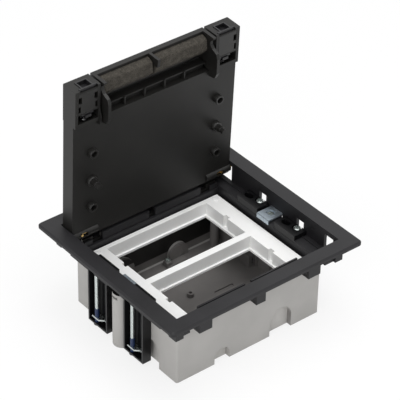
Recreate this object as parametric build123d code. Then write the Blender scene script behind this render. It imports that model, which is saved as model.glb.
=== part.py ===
from build123d import *
from math import cos, hypot, radians, sin
import os

# The box stands on z = 0. X runs along the front edge, Y towards the lid's hinge.
# Depths are measured down from the flange's top face.

# Flange and the opening in it
flange_width = 203.0
flange_depth = 186.8
flange_thick = 3.8
flange_bevel = 1.5
flange_corner = 4.0
flange_height = 80.4
opening_width = 173.0
opening_depth = 158.4

# Collar under the flange
collar_wall = 3.0
collar_drop = 21.0
front_wall_drop = 14.0
back_wall_drop = 25.0
back_wall_reach = 68.0
corner_leg = 5.0
side_window_front = 61.5
side_window_back = 62.0
corner_front = 72.6
corner_back = 75.4
side_window_top = 4.8
screw_window_half = 4.5
screw_window_top = 9.0
clip_window_gap = 1.2
lug_drop = 24.5
lug_inner_top = 20.2
lug_width = 13.2
lug_pitch = 58.4
middle_lug_width = 9.9

# Side ledges and the sleeve that lines the box
ledge_depth = 19.5
ledge_thick = 2.0
sleeve_half_width = 72.5
sleeve_thick = 2.0
sleeve_half_depth = 63.0
sleeve_drop = 39.0
ledge_rib_inset = 4.6
ledge_rib_high = 1.0
ledge_rib_thick = 0.6
tower_gap = 0.1
clip_seat_gap = 1.0
clip_pad = 1.4
step_thick = 2.0
arm_slot_gap = 0.8
arm_slot_floor = 0.7
panel_half_depth = 64.2
panel_thick = 1.6
panel_foot = 22.5
panel_inner = 3.4
panel_outer = 53.5
stub_panel_inner = 64.0
centre_shift = 0.4
side_shift = 0.3

# Back box
box_width = 155.0
box_depth = 138.8
box_shift = 0.6
box_wall = 2.5
box_floor = 2.0
box_corner = 2.0
box_tab_depth = 15.2
box_front_top = 20.6
box_back_tab_depth = 16.4
back_tab_inner = 4.0
back_tab_gap = (53.0, 62.0)
hook_gap = 0.2
arch_recess = 5.0
arch_skin = 2.0
large_arch_radius = 11.9
large_arch_rise = 13.5
small_arch_radius = 8.0
small_arch_rise = 5.9
front_large_arch = 34.5
front_small_arch = -29.3
side_arch = -33.2
side_column_radius = 8.4
side_column_top = 25.0
side_column_reach = 80.3
corner_post_radius = 3.9
column_bore_depth = 52.0
nut_gap = 0.1
floor_boss_x = 2.0
floor_boss_y = 13.0
floor_boss_radius = 3.2
floor_boss_bore = 1.5
floor_boss_high = 4.0
floor_slot_x = 32.0
floor_slot_y = 3.3
floor_slot_length = 20.0
floor_slot_width = 3.6
floor_slot_deep = 1.5
wall_rib_thick = 1.5
wall_rib_y = 1.75
wall_rib_pitch = 17.0
wall_rib_gap = 2.0
bridge_y = 19.0
bridge_length = 12.0
bridge_reach = 7.0
bridge_high = 12.0
bridge_leg = 3.0
bridge_gap_wide = 2.5
bridge_gap_high = 6.0

# Module carrier
carrier_half_width = 70.0
carrier_half_depth = 61.6
carrier_top = 27.3
carrier_plate = 2.5
carrier_bottom = 36.9
carrier_corner = 1.0
module_width = 108.8
module_height = 53.9
module_bar = 6.7
module_wall = 2.0
module_ledge_depth = 33.8
module_ledge_side = 5.4
module_ledge_end = 7.8
notch_width = 7.0
notch_deep = 4.0
button_radius = 2.6
button_high = 0.8
button_x = 64.0
button_y = 56.6

# Claw towers
tower_top = 14.9
tower_width = 26.4
tower_wall = 1.6
tower_inner = 72.7
tower_outer = 86.4
tower_bottom = 78.0
tower_pitch = 49.7
tower_offset = 2.3
screw_reach = 83.5
screw_offset = 4.6
oval_length = 9.6
oval_width = 6.0
oval_from_screw = 10.9
boss_radius = 3.4
boss_inset = 0.5
boss_rise = 1.4
boss_drop = 0.5
tower_wall_gap = 0.2
head_seat_inset = 0.6
head_seat_gap = 0.9
oval_inset = 7.3
oval_deep = 5.0

# Claws and their screws
shank_radius = 1.75
patch_radius = 1.95
patch_top = 62.0
screw_head_radius = 3.4
screw_head_thick = 2.4
cross_width = 0.9
cross_deep = 1.2
cross_arm = 2.0
head_round = 0.8
screw_foot_gap = 0.2
running_gap = 0.05
claw_depth = 71.5
claw_thick = 1.5
claw_arm = 15.0
claw_end_radius = 3.9
claw_outer = 2.5
claw_tooth = 2.8
claw_shoulder = 5.1
claw_narrowing = 3.6
claw_bite_radius = 0.5
claw_bite_inset = 1.4

# Clamp clips on the two side ledges
clip_size = 15.5
clip_thick = 1.5
clip_lip = 4.6
clip_screw_radius = 1.75
clip_head_radius = 2.6
clip_bore_radius = 3.8
clip_screw_length = 20.0
clip_nut_radius = 3.4
clip_nut_thick = 2.6
clip_nut_depth = 30.2
clip_overlap = 0.1
clip_end_gap = 0.3
clip_head_sunk = 1.0
clip_head_thick = 0.8
clip_cross_arm = 1.6
clip_edge = 0.5
hole_gap = 0.3
head_gap = 0.2

# Lid, in its own frame: x along the hinge, s up the lid, t inward from the outer face
lid_width = 170.6
lid_top = 144.8
lid_foot = 10.7
lid_thick = 14.2
lid_lean = 2.4
lid_back = 78.6
lid_foot_round = 4.5
lid_corner = 0.8
lid_rim = 2.5
inlay_deep = 5.0
stiffener_thick = 2.0
stiffener_gap = 0.2
stiffener_corner = 2.0
lid_web = 2.2
lid_rib = 1.5
inlay_end = 106.0
block_inner = 60.2
block_foot = 109.0
block_thick = 17.1
cheek_foot = 104.0
cheek_top = 121.0
cheek_crown = 2.4
cheek_shoulder = 1.6
cheek_thick = 1.2
boss_x = 66.5
boss_rows = (77.0, 21.0)
boss_outer = 3.8
boss_bore = 2.7
boss_high = 4.5
post_row = 48.0
post_base_radius = 3.4
post_base_high = 3.6
post_radius = 2.4
post_gap = 0.5
lid_rib_columns = 3
lid_rib_rows = 2

# Hinge barrels and spring pins on the lid's foot
barrel_inner = 59.0
barrel_outer = 86.0
barrel_radius = 3.75
barrel_t = 12.8
barrel_s = -6.2
barrel_slot = (70.0, 78.0)
lid_turn_t = 6.1
lid_turn_s = -5.85
pin_radius = 1.6
pin_tip = 88.2
pin_shoulder = 69.0
pin_stem_radius = 0.8
pin_travel = 3.5
pin_nub_radius = 1.1
pin_nub_inset = 2.0
pin_nub_low = 0.4
pin_edge = 0.4
barrel_end_wall = 1.5
barrel_slot_half = 2.0
spring_gap = 0.1

# Cable flap, foam and ribbed tray
tray_foot = 109.6
tray_rise = 7.4
tray_top = tray_foot + tray_rise
tray_floor = 8.0
tray_lip = 11.0
tray_half_width = 54.6
tray_edge = 1.2
tray_rib_root = 0.5
tray_rib_x = (10.4, 31.2)
tray_rib_high = 12.3
tray_rib_thick = 1.3
flap_hinge_gap = 1.9
flap_hinge_s = tray_top + flap_hinge_gap
flap_hinge_t = 1.6
flap_plate = 2.5
flap_bar = 5.0
flap_bar_high = 2.5
flap_arm_x = 56.7
flap_arm_thick = 3.0
flap_arm_max = 25.3
flap_pin_radius = 1.5
flap_pin_reach = 62.2
flap_rib_x = -1.0
flap_rib_thick = 2.6
hook_reach = 17.8
foam_gap = 0.3
foam_face = 12.6
foam_back = 6.4
foam_shoulder = 11.3
cheek_clear = 0.2

# Latches
latch_inner = 65.6
latch_outer = 77.8
latch_back = 4.4
latch_front = 15.6
latch_gap = 0.2
latch_wall = 1.2
latch_proud = 0.6
latch_travel = 1.8
latch_mouth = 4.0
latch_tail_end = 118.0
latch_tongue_half = 3.0
latch_tongue_reach = 2.2
latch_tongue_root = 0.4
latch_tongue_t = 2.0
latch_tongue_low = 0.6
latch_lip_inner = 62.9
latch_lip_outer = 80.3
latch_lip_back = 14.2
latch_lip_high = 1.8
latch_lip_room = 1.0
channel_foot = 109.8
window_inner = 62.0
window_outer = 82.4
window_foot = 112.4
window_top = 121.2
window_t = 7.0
cover_inner = 63.0
cover_outer = 82.0
cover_foot = 122.0
cover_top = 142.0
cover_thick = 1.6
cover_slot_rows = (126.6, 135.4)
cover_slot_widths = (2.2, 3.2)
cover_slot_length = 6.0
cover_slot_deep = 3.0
cover_gap = 0.2

# Cable clamp inside the box
clamp_x = 24.0
clamp_y = 58.7
clamp_radius = 7.5
clamp_thick = 1.6
clamp_foot_length = 22.0
clamp_foot_width = 8.0
clamp_screw_radius = 1.75
clamp_head_radius = 2.4
clamp_head_thick = 2.2
clamp_disc_shift = 3.0
clamp_post_length = 5.5
clamp_post_width = 6.0
clamp_post_high = 5.0
clamp_screw_tip = 0.2

# Springs
spring_wire = 0.45
hinge_spring_radius = 1.12
latch_spring_radius = 2.6
latch_spring_length = 5.6
spring_turns = 4

# Named clearances and values worked out from the above
clearance = 0.4
lid_angle = radians(lid_lean)
half_open_x = opening_width / 2
half_open_y = opening_depth / 2
collar_x = half_open_x + collar_wall
collar_y = half_open_y + collar_wall
box_top = ledge_depth + ledge_thick
front_panel_top = foam_face + 0.6
back_panel_top = lid_thick + 0.3


def below(depth):
    """Height of the level that lies this far below the flange's top face."""
    return flange_height - depth


def block(x0, x1, y0, y1, z0, z1):
    """Box between two opposite corners, given in any order."""
    centre = Pos((x0 + x1) / 2, (y0 + y1) / 2, (z0 + z1) / 2)
    return centre * Box(abs(x1 - x0), abs(y1 - y0), abs(z1 - z0))


def rod(x, y, z0, z1, radius):
    """Upright round bar between two heights."""
    return Pos(x, y, (z0 + z1) / 2) * Cylinder(radius, abs(z1 - z0))


def rod_x(x0, x1, y, z, radius):
    """Round bar that lies along X."""
    return Pos((x0 + x1) / 2, y, z) * Rot(0, 90, 0) * Cylinder(radius, abs(x1 - x0))


def mirror_x(shape):
    """The same shape on the other side of the part's middle plane."""
    return mirror(shape, Plane.YZ)


def turned(shape):
    """The same shape turned half round about the box's middle."""
    return Pos(0, 2 * centre_shift_y(), 0) * Rot(0, 0, 180) * shape


def centre_shift_y():
    """Y of the upright line that the two side groups are turned about."""
    return centre_shift + box_shift + side_shift


def on_lid(shape):
    """Carry a shape from the lid's own frame to the open lid."""
    inward = Vector(0, -cos(lid_angle), -sin(lid_angle))
    lid_plane = Plane(origin=(0, lid_back, flange_height), x_dir=(1, 0, 0), z_dir=inward)
    return lid_plane.location * shape


def cross_recess(x, y, z, arm):
    """Cross-shaped recess for a screwdriver, open at height z."""
    long_way = block(x - arm, x + arm, y - cross_width / 2, y + cross_width / 2, z - cross_deep, z)
    short_way = block(x - cross_width / 2, x + cross_width / 2, y - arm, y + arm, z - cross_deep, z)
    return long_way + short_way


def tower_centres(side):
    """Y of the two tower centres on the right (1) or the left (-1)."""
    middle = centre_shift_y() - side * tower_offset
    return [middle + tower_pitch / 2, middle - tower_pitch / 2]


def flange_ring():
    """Flat flange with rounded corners and a bevelled outer edge."""
    plate = block(-flange_width / 2, flange_width / 2, -flange_depth / 2, flange_depth / 2,
                  below(flange_thick), below(0))
    plate = fillet(plate.edges().filter_by(Axis.Z), flange_corner)
    plate = chamfer(plate.faces().sort_by(Axis.Z)[-1].edges(), flange_bevel)
    hole = block(-half_open_x, half_open_x, -half_open_y, half_open_y, below(flange_thick + 1), below(-1))
    return plate - hole


def side_wall(side):
    """Collar wall on one side, with its windows for the screws, the clip and the hinge pin."""
    inner, outer = side * half_open_x, side * collar_x
    low, high = below(collar_drop), below(flange_thick)
    wall = block(inner, outer, -side_window_front, side_window_back, low, high)
    wall += block(inner, outer, -collar_y, -corner_front, low, high)
    wall += block(inner, outer, corner_back, collar_y, low, high)
    wall += block(inner, outer, -corner_front, corner_back, below(side_window_top), high)
    for y in tower_centres(side):
        screw_y = y - side * screw_offset
        wall -= block(inner - side, outer + side, screw_y - screw_window_half, screw_y + screw_window_half,
                      below(screw_window_top), low - 1)
    half = clip_size / 2 + clearance
    wall -= block(inner - side, outer + side, clip_y(side) - half, clip_y(side) + half,
                  clip_base() + clip_thick + clip_window_gap, low - 1)
    return wall


def clip_y(side):
    """Y of the clamp clip's middle on the right (1) or the left (-1)."""
    return centre_shift_y() - side * centre_shift


def clip_base():
    """Height of the clamp clips' underside, on their pads."""
    return below(ledge_depth - clip_pad)


def end_wall(end):
    """Collar wall along the front (-1) or the back (1), with a leg down each corner."""
    inner, outer = end * half_open_y, end * collar_y
    wall = block(-collar_x, collar_x, inner, outer, below(front_wall_drop), below(flange_thick))
    for side in (-1, 1):
        wall += block(side * (half_open_x - corner_leg), side * collar_x, inner, outer,
                      below(collar_drop), below(flange_thick))
    return wall


def back_skirt():
    """Deeper back collar wall that closes the gap over the box's back wall."""
    skirt = block(-collar_x, collar_x, half_open_y, collar_y, below(collar_drop), below(flange_thick))
    return skirt + block(-back_wall_reach, back_wall_reach, half_open_y, collar_y,
                         below(back_wall_drop), below(flange_thick))


def back_hooks():
    """Lips of the back lining panels over the box's back wall, hollowed where the lid's foot swings by."""
    face = panel_half_depth + centre_shift
    hook = block(panel_inner, panel_outer, face, box_shift + box_depth / 2,
                 below(box_back_tab_depth - hook_gap), below(back_panel_top))
    foot_swing = hypot(lid_thick - lid_turn_t, lid_foot + lid_turn_s) + clearance
    hook -= on_lid(rod_x(panel_inner - 1, panel_outer + 1, lid_turn_s, lid_turn_t, foot_swing))
    return hook + mirror_x(hook)


def catch_pockets():
    """Recesses in the front collar wall that the two latch bolts slide into."""
    pocket = block(latch_lip_inner - clearance, latch_lip_outer + clearance,
                   -half_open_y - latch_travel - latch_gap, 1 - half_open_y,
                   below(latch_back - clearance), below(latch_front + clearance))
    return pocket + mirror_x(pocket)


def lugs(end):
    """Three lugs that hold the box to the collar, at the front (-1) or the back (1)."""
    inner, outer = end * half_open_y, end * collar_y
    box_face = box_shift + end * box_depth / 2
    shape = None
    for x, width in ((-lug_pitch, lug_width), (0, middle_lug_width), (lug_pitch, lug_width)):
        lug = block(x - width / 2, x + width / 2, outer, box_face, below(lug_drop), below(lug_inner_top))
        lug += block(x - width / 2, x + width / 2, outer, inner, below(lug_drop), below(flange_thick))
        shape = lug if shape is None else shape + lug
    return shape


def sleeve_end(top):
    """Front lining wall: two panels and two stubs with slots between, over a stepped band."""
    face = -panel_half_depth + centre_shift
    foot = below(panel_foot)
    wall = block(-sleeve_half_width, sleeve_half_width, face - panel_thick, -sleeve_half_depth + centre_shift,
                 foot - step_thick, foot)
    wall += block(-sleeve_half_width, sleeve_half_width, -sleeve_half_depth - sleeve_thick + centre_shift,
                  -sleeve_half_depth + centre_shift, below(sleeve_drop), foot)
    stub_top = max(top, block_thick + clearance)
    for side in (-1, 1):
        wall += block(side * panel_inner, side * panel_outer, face - panel_thick, face, foot, below(top))
        wall += block(side * stub_panel_inner, side * sleeve_half_width, face - panel_thick, face,
                      foot, below(stub_top))
    return wall


def arm_slots():
    """Slots in the front lining that the cable flap's cheeks drop into when the lid is shut."""
    half = flap_arm_thick / 2 + arm_slot_gap
    slot = block(flap_arm_x - half, flap_arm_x + half, -half_open_y, 0,
                 below(flap_arm_max + arm_slot_floor), below(0))
    return slot + mirror_x(slot)


def ledge_side(side):
    """Ledge, lining wall and ledge rib on one side."""
    inner, outer = side * sleeve_half_width, side * half_open_x
    reach = sleeve_half_depth + sleeve_thick
    shape = block(inner, outer, -half_open_y, half_open_y, below(box_top), below(ledge_depth))
    shape += block(inner, inner + side * sleeve_thick, centre_shift - reach, centre_shift + reach,
                   below(sleeve_drop), below(ledge_depth))
    rib_x = outer - side * ledge_rib_inset
    shape += block(rib_x - side * ledge_rib_thick, rib_x, -half_open_y, half_open_y,
                   below(ledge_depth), below(ledge_depth - ledge_rib_high))
    half = tower_width / 2 + tower_gap
    for y in tower_centres(side):
        shape -= block(inner - side, outer + side, y - half, y + half, below(box_top), below(0))
    half = clip_size / 2 + clip_seat_gap
    shape -= block(inner - side, outer + side, clip_y(side) - half, clip_y(side) + half,
                   below(ledge_depth), below(0))
    half = clip_size / 2
    shape += block(inner, outer, clip_y(side) - half, clip_y(side) + half, below(ledge_depth), clip_base())
    return shape - rod(side * side_column_reach, clip_y(side), below(box_top + 1), clip_base() + 1,
                       clip_screw_radius + hole_gap)


def bezel_frame():
    """Flange, collar, lugs, ledges and lining, moulded in one piece."""
    shape = flange_ring()
    for way in (-1, 1):
        shape += side_wall(way) + end_wall(way) + lugs(way) + ledge_side(way)
    shape -= catch_pockets()
    shape += sleeve_end(front_panel_top) - arm_slots()
    shape += Pos(0, 2 * centre_shift, 0) * mirror(sleeve_end(back_panel_top), Plane.XZ)
    return shape + back_skirt() + back_hooks()


def arch(radius, rise, depth):
    """Arched prism that stands on z = 0 with its flat sides across Y."""
    body = block(-radius, radius, 0, depth, -1, rise)
    return body + Pos(0, depth / 2, rise) * Rot(90, 0, 0) * Cylinder(radius, depth)


def arch_shapes(radius, rise):
    """Inward boss of a knock-out and the recess that is cut out of it."""
    boss = arch(radius + arch_skin, rise, arch_recess + arch_skin)
    boss -= block(-2 * radius, 2 * radius, -1, 2 * arch_recess, -2, 0)
    recess = Pos(0, -1, 0) * arch(radius, rise, arch_recess + 1)
    return boss, recess


def knock_outs():
    """Places of the knock-outs as (location, radius, rise), two on each long way and one on each side."""
    front = -box_depth / 2
    side = -box_width / 2
    places = []
    for turn in (0, 180):
        spin = Pos(0, box_shift, 0) * Rot(0, 0, turn)
        places.append((spin * Pos(front_large_arch, front, 0), large_arch_radius, large_arch_rise))
        places.append((spin * Pos(front_small_arch, front, 0), small_arch_radius, small_arch_rise))
        places.append((spin * Pos(side, side_arch - box_shift, 0) * Rot(0, 0, -90), large_arch_radius,
                       large_arch_rise))
    return places


def back_box():
    """Grey mounting box with arched knock-outs, side columns, corner posts and floor details."""
    x, y = box_width / 2, box_depth / 2
    shell = block(-x, x, -y, y, 0, below(box_top))
    shell = fillet(shell.edges().filter_by(Axis.Z), box_corner)
    shell += block(-panel_outer, panel_outer, -y, 0, below(box_top), below(box_tab_depth))
    tabs = block(back_tab_inner, back_tab_gap[0], 0, y, below(box_top), below(box_back_tab_depth))
    tabs += block(back_tab_gap[1], sleeve_half_width, 0, y, below(box_top), below(box_back_tab_depth))
    shell += tabs + mirror_x(tabs)
    shell += block(-sleeve_half_width, sleeve_half_width, -y, y, below(box_top), below(box_front_top))
    shell -= block(-x + box_wall, x - box_wall, -y + box_wall, y - box_wall, box_floor, below(0))
    box = Pos(0, box_shift, 0) * shell
    for side in (-1, 1):
        column = rod(side * side_column_reach, clip_y(side), 0, below(side_column_top), side_column_radius)
        column -= block(0, side * (x - box_wall), -y, y, -1, below(0))
        box += column
    inside = block(-x, x, -y, y, 0, below(0))
    for place, radius, rise in knock_outs():
        boss, recess = arch_shapes(radius, rise)
        box += (place * boss) & (Pos(0, box_shift, 0) * inside)
        box -= place * recess
    for side in (-1, 1):
        post_y = side * button_y + centre_shift
        for across in (-1, 1):
            box += rod(across * button_x, post_y, box_floor / 2, below(carrier_top + carrier_plate),
                       corner_post_radius)
        box -= rod(side * side_column_reach, clip_y(side), below(column_bore_depth), below(0),
                   clip_screw_radius + hole_gap)
        half = clip_nut_radius + nut_gap
        box -= block(side * (side_column_reach - half), side * (side_column_reach + 2 * side_column_radius),
                     clip_y(side) - half, clip_y(side) + half,
                     below(clip_nut_depth), below(clip_nut_depth - clip_nut_thick - nut_gap))
    return box + floor_boss() + wall_ribs() - floor_slot()


def floor_boss():
    """Hollow screw boss on the floor of the box."""
    boss = rod(floor_boss_x, floor_boss_y, box_floor / 2, box_floor + floor_boss_high, floor_boss_radius)
    return boss - rod(floor_boss_x, floor_boss_y, box_floor, box_floor + floor_boss_high + 1, floor_boss_bore)


def floor_slot():
    """Long shallow slot in the floor of the box."""
    return block(floor_slot_x - floor_slot_length / 2, floor_slot_x + floor_slot_length / 2,
                 floor_slot_y - floor_slot_width / 2, floor_slot_y + floor_slot_width / 2,
                 box_floor - floor_slot_deep, box_floor + 1)


def wall_ribs():
    """Two upright ribs and a cable bridge on the inside of the right-hand wall."""
    face = box_width / 2 - box_wall
    top = below(sleeve_drop + wall_rib_gap)
    bridge = block(face - bridge_reach, face, bridge_y - bridge_length / 2, bridge_y + bridge_length / 2,
                   box_floor, box_floor + bridge_high)
    bridge -= block(face - wall_rib_thick - bridge_gap_wide, face - wall_rib_thick,
                    bridge_y - bridge_length, bridge_y + bridge_length,
                    box_floor + bridge_leg, box_floor + bridge_leg + bridge_gap_high)
    for way in (-1, 1):
        y = wall_rib_y + way * wall_rib_pitch / 2
        bridge += block(face - wall_rib_thick, face, y - wall_rib_thick / 2, y + wall_rib_thick / 2,
                        box_floor, top)
    return bridge


def module_carrier():
    """White frame with two stepped wells for socket modules."""
    plate = block(-carrier_half_width, carrier_half_width, -carrier_half_depth, carrier_half_depth,
                  below(carrier_top + carrier_plate), below(carrier_top))
    plate = fillet(plate.edges().filter_by(Axis.Z), carrier_corner)
    shape = plate
    wells = None
    for way in (-1, 1):
        y = way * (module_height + module_bar) / 2
        x = module_width / 2
        half = module_height / 2
        shape += block(-x - module_wall, x + module_wall, y - half - module_wall, y + half + module_wall,
                       below(carrier_bottom), below(carrier_top + 1))
        well = block(-x, x, y - half, y + half, below(module_ledge_depth), below(carrier_top - 1))
        well += block(-x + module_ledge_side, x - module_ledge_side, y - half + module_ledge_end,
                      y + half - module_ledge_end, below(carrier_bottom + 1), below(carrier_top))
        well += block(-x - notch_deep, x + notch_deep, y - notch_width / 2, y + notch_width / 2,
                      below(carrier_top + carrier_plate), below(carrier_top - 1))
        wells = well if wells is None else wells + well
    shape -= wells
    for across in (-1, 1):
        for along in (-1, 1):
            shape += rod(across * button_x, along * button_y, below(carrier_top + 1),
                         below(carrier_top - button_high), button_radius)
    return Pos(0, centre_shift, 0) * shape


def claw_tower():
    """Right-hand tower about its own middle: top block, outward-open channel, floor and foot boss."""
    half = tower_width / 2
    wall_x = box_width / 2 + tower_wall_gap
    inner = half - tower_wall
    tower = block(tower_inner, tower_outer, -half, half, below(box_top), below(tower_top))
    tower += block(wall_x, tower_outer, -half, half, below(tower_bottom), below(box_top))
    tower -= block(wall_x + tower_wall, tower_outer + 1, -inner, inner,
                   below(tower_bottom - tower_wall), below(box_top))
    tower += rod(screw_reach - boss_inset, -screw_offset, below(tower_bottom + boss_rise),
                 below(tower_bottom - boss_drop), boss_radius)
    tower -= rod(screw_reach, -screw_offset, below(tower_bottom), below(tower_bottom - tower_wall - 1),
                 patch_radius + running_gap)
    tower -= rod(screw_reach, -screw_offset, below(box_top + 1), below(0), shank_radius + running_gap)
    tower -= rod(screw_reach - head_seat_inset, -screw_offset, below(tower_top + screw_head_thick), below(0),
                 screw_head_radius + head_seat_gap)
    oval_y = oval_from_screw - screw_offset
    slot = extrude(SlotOverall(oval_length, oval_width, rotation=90), amount=oval_deep + 1)
    return tower - Pos(tower_inner + oval_inset, oval_y, below(tower_top + oval_deep)) * slot


def claw_screw():
    """Long screw with a cross recess and a thicker locking patch at its foot."""
    x, y = screw_reach, -screw_offset
    top = below(tower_top)
    head = rod(x, y, top - screw_head_thick, top, screw_head_radius)
    head = chamfer(head.edges().sort_by(Axis.Z)[-1], head_round)
    head -= cross_recess(x, y, top, cross_arm)
    foot = below(tower_bottom - screw_foot_gap)
    shank = rod(x, y, foot, top - screw_head_thick, shank_radius)
    patch = rod(x, y, foot, below(patch_top), patch_radius)
    return head + shank + patch


def claw_plate():
    """Flat claw with a round pivot end, a shouldered arm and a narrow tooth."""
    tooth_edge = claw_tooth - claw_end_radius
    arm = Polyline((-claw_outer, -claw_end_radius), (-claw_outer, claw_shoulder),
                   (-tooth_edge, claw_shoulder + claw_narrowing),
                   (-tooth_edge, claw_arm), (claw_end_radius, claw_arm), (claw_end_radius, 0),
                   (0, -claw_end_radius), close=True)
    outline = make_face(arm)
    reach = Circle(claw_arm)
    pivot = Circle(claw_end_radius) & Pos(1, 0) * Rectangle(2 * (claw_outer + 1), 2 * claw_end_radius + 2)
    outline = (outline & reach) + pivot
    bite = Pos(claw_end_radius - claw_bite_inset, claw_arm) * Circle(claw_bite_radius)
    outline = outline - bite - Circle(patch_radius + running_gap)
    plate = extrude(outline, amount=claw_thick)
    return Pos(screw_reach, -screw_offset, below(claw_depth) - claw_thick / 2) * mirror(plate, Plane.YZ)


def clamp_clip():
    """Right-hand clip: a square plate with a lip bent down over the ledge's edge."""
    half = clip_size / 2
    x0 = sleeve_half_width - clip_overlap
    y = clip_y(1)
    base = clip_base()
    plate = block(x0 - clip_thick, x0 + clip_size - clip_end_gap, y - half, y + half, base, base + clip_thick)
    plate += block(x0 - clip_thick, x0, y - half, y + half, base + clip_thick - clip_lip, base)
    plate = chamfer(plate.edges().filter_by(Axis.Y).sort_by(Axis.X)[:2].sort_by(Axis.Z)[-1], clip_edge)
    plate -= rod(side_column_reach, y, base - 1, base + clip_thick + 1, clip_screw_radius + hole_gap)
    return plate - rod(side_column_reach, y, base + clip_thick - clip_head_sunk, base + clip_thick + 1,
                       clip_bore_radius)


def clip_screw():
    """Short screw that holds the clip, with its head sunk in the plate."""
    y = clip_y(1)
    seat = clip_base() + clip_thick - clip_head_sunk
    head = rod(side_column_reach, y, seat, seat + clip_head_thick, clip_head_radius)
    head -= cross_recess(side_column_reach, y, seat + clip_head_thick, clip_cross_arm)
    shank = rod(side_column_reach, y, seat - clip_screw_length, seat, clip_screw_radius)
    return head + shank


def clip_nut():
    """Square nut in the column's slot under the clip."""
    y = clip_y(1)
    low = below(clip_nut_depth)
    nut = block(side_column_reach - clip_nut_radius, side_column_reach + clip_nut_radius,
                y - clip_nut_radius, y + clip_nut_radius, low, low + clip_nut_thick)
    return nut - rod(side_column_reach, y, low - 1, low + clip_nut_thick + 1, clip_screw_radius)


def clamp_post_x():
    """X of the middle of the cable clamp's post."""
    return clamp_x - clamp_foot_length / 2 - clamp_disc_shift + clamp_post_length / 2


def cable_clamp():
    """Foot plate with an upright disc that a cable is strapped to."""
    x0 = clamp_post_x() - clamp_post_length / 2
    back = clamp_y + clamp_foot_width / 2
    post_top = box_floor + clamp_post_high
    foot = block(x0, x0 + clamp_foot_length, clamp_y - clamp_foot_width / 2, back,
                 box_floor, box_floor + clamp_thick)
    disc = Pos(clamp_x, back - clamp_thick / 2, box_floor + clamp_radius) * Rot(90, 0, 0)
    post = block(x0, x0 + clamp_post_length, clamp_y - clamp_post_width / 2, clamp_y + clamp_post_width / 2,
                 box_floor, post_top)
    shape = foot + disc * Cylinder(clamp_radius, clamp_thick) + post
    return shape - rod(clamp_post_x(), clamp_y, box_floor - 1, post_top + 1, clamp_screw_radius)


def clamp_screw():
    """Screw in the cable clamp's post."""
    x = clamp_post_x()
    seat = box_floor + clamp_post_high
    head = rod(x, clamp_y, seat, seat + clamp_head_thick, clamp_head_radius)
    head -= cross_recess(x, clamp_y, seat + clamp_head_thick, clip_cross_arm)
    return head + rod(x, clamp_y, box_floor + clamp_screw_tip, seat, clamp_screw_radius)


def lid_ribs():
    """Grid of ribs between the inlay's stiffener and the lid's inner face."""
    x = lid_width / 2 - lid_rim
    low = -lid_foot + lid_rim
    t0 = inlay_deep + stiffener_thick
    t1 = lid_thick - lid_web
    grid = None
    for i in range(1, lid_rib_columns + 1):
        rib_x = -x + i * 2 * x / (lid_rib_columns + 1)
        rib = block(rib_x - lid_rib / 2, rib_x + lid_rib / 2, low, inlay_end, t0, t1)
        grid = rib if grid is None else grid + rib
    for i in range(1, lid_rib_rows + 1):
        rib_s = low + i * (inlay_end - low) / (lid_rib_rows + 1)
        grid += block(-x, x, rib_s - lid_rib / 2, rib_s + lid_rib / 2, t0, t1)
    return grid


def hinge_barrel():
    """Right-hand barrel with its bore and the slot that shows the pin."""
    barrel = rod_x(barrel_inner, barrel_outer, barrel_s, barrel_t, barrel_radius)
    barrel += block(barrel_inner, lid_width / 2, barrel_s - barrel_radius, barrel_s + barrel_radius,
                    barrel_t - barrel_radius, barrel_t)
    return barrel


def hinge_bore():
    """What is cut out of the right-hand barrel."""
    bore = rod_x(barrel_inner + barrel_end_wall, barrel_outer + 1, barrel_s, barrel_t,
                 pin_radius + running_gap)
    slot = block(barrel_slot[0], barrel_slot[1], barrel_s - barrel_slot_half, barrel_s + barrel_slot_half,
                 barrel_t, barrel_t + 2 * barrel_radius)
    return bore + slot


def latch_block():
    """Raised housing at the right-hand front corner of the lid."""
    housing = block(block_inner, lid_width / 2, block_foot, lid_top, 0, block_thick)
    middle = (cheek_foot + cheek_top + 1) / 2
    cheek = Polyline((cheek_top, block_thick), (middle, block_thick + cheek_crown),
                     (cheek_foot + 1, block_thick + cheek_shoulder), (cheek_foot, lid_thick),
                     (cheek_top, lid_thick), close=True)
    fin = extrude(Plane.YZ * make_face(cheek), amount=cheek_thick)
    return housing + Pos(block_inner, 0, 0) * fin


def latch_pocket():
    """Bolt channel, lower window and cover seat of the right-hand latch."""
    pocket = block(latch_inner, latch_outer, channel_foot, lid_top + 1, latch_back, latch_front)
    pocket += block(latch_lip_inner - latch_gap, latch_lip_outer + latch_gap,
                    lid_top + latch_proud - latch_lip_high - latch_lip_room, lid_top + 1,
                    latch_lip_back - latch_gap, block_thick + 1)
    pocket += block(window_inner, window_outer, window_foot, window_top, window_t, block_thick + 4)
    pocket += block(cover_inner, cover_outer, cover_foot, cover_top,
                    block_thick - cover_thick, block_thick + 1)
    return pocket + cover_slots(cover_slot_deep, True)


def cover_slots(deep, inner_row):
    """Snap-hook slots of the right-hand latch cover, this deep, on its outer and perhaps its inner edge."""
    slots = None
    for s, width in zip(cover_slot_rows, cover_slot_widths):
        edges = [cover_outer - width / 2]
        if inner_row:
            edges.append(cover_inner + width / 2)
        for x in edges:
            slot = block(x - width / 2, x + width / 2, s - cover_slot_length / 2, s + cover_slot_length / 2,
                         block_thick - cover_thick - deep, block_thick + 1)
            slots = slot if slots is None else slots + slot
    return slots


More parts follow.
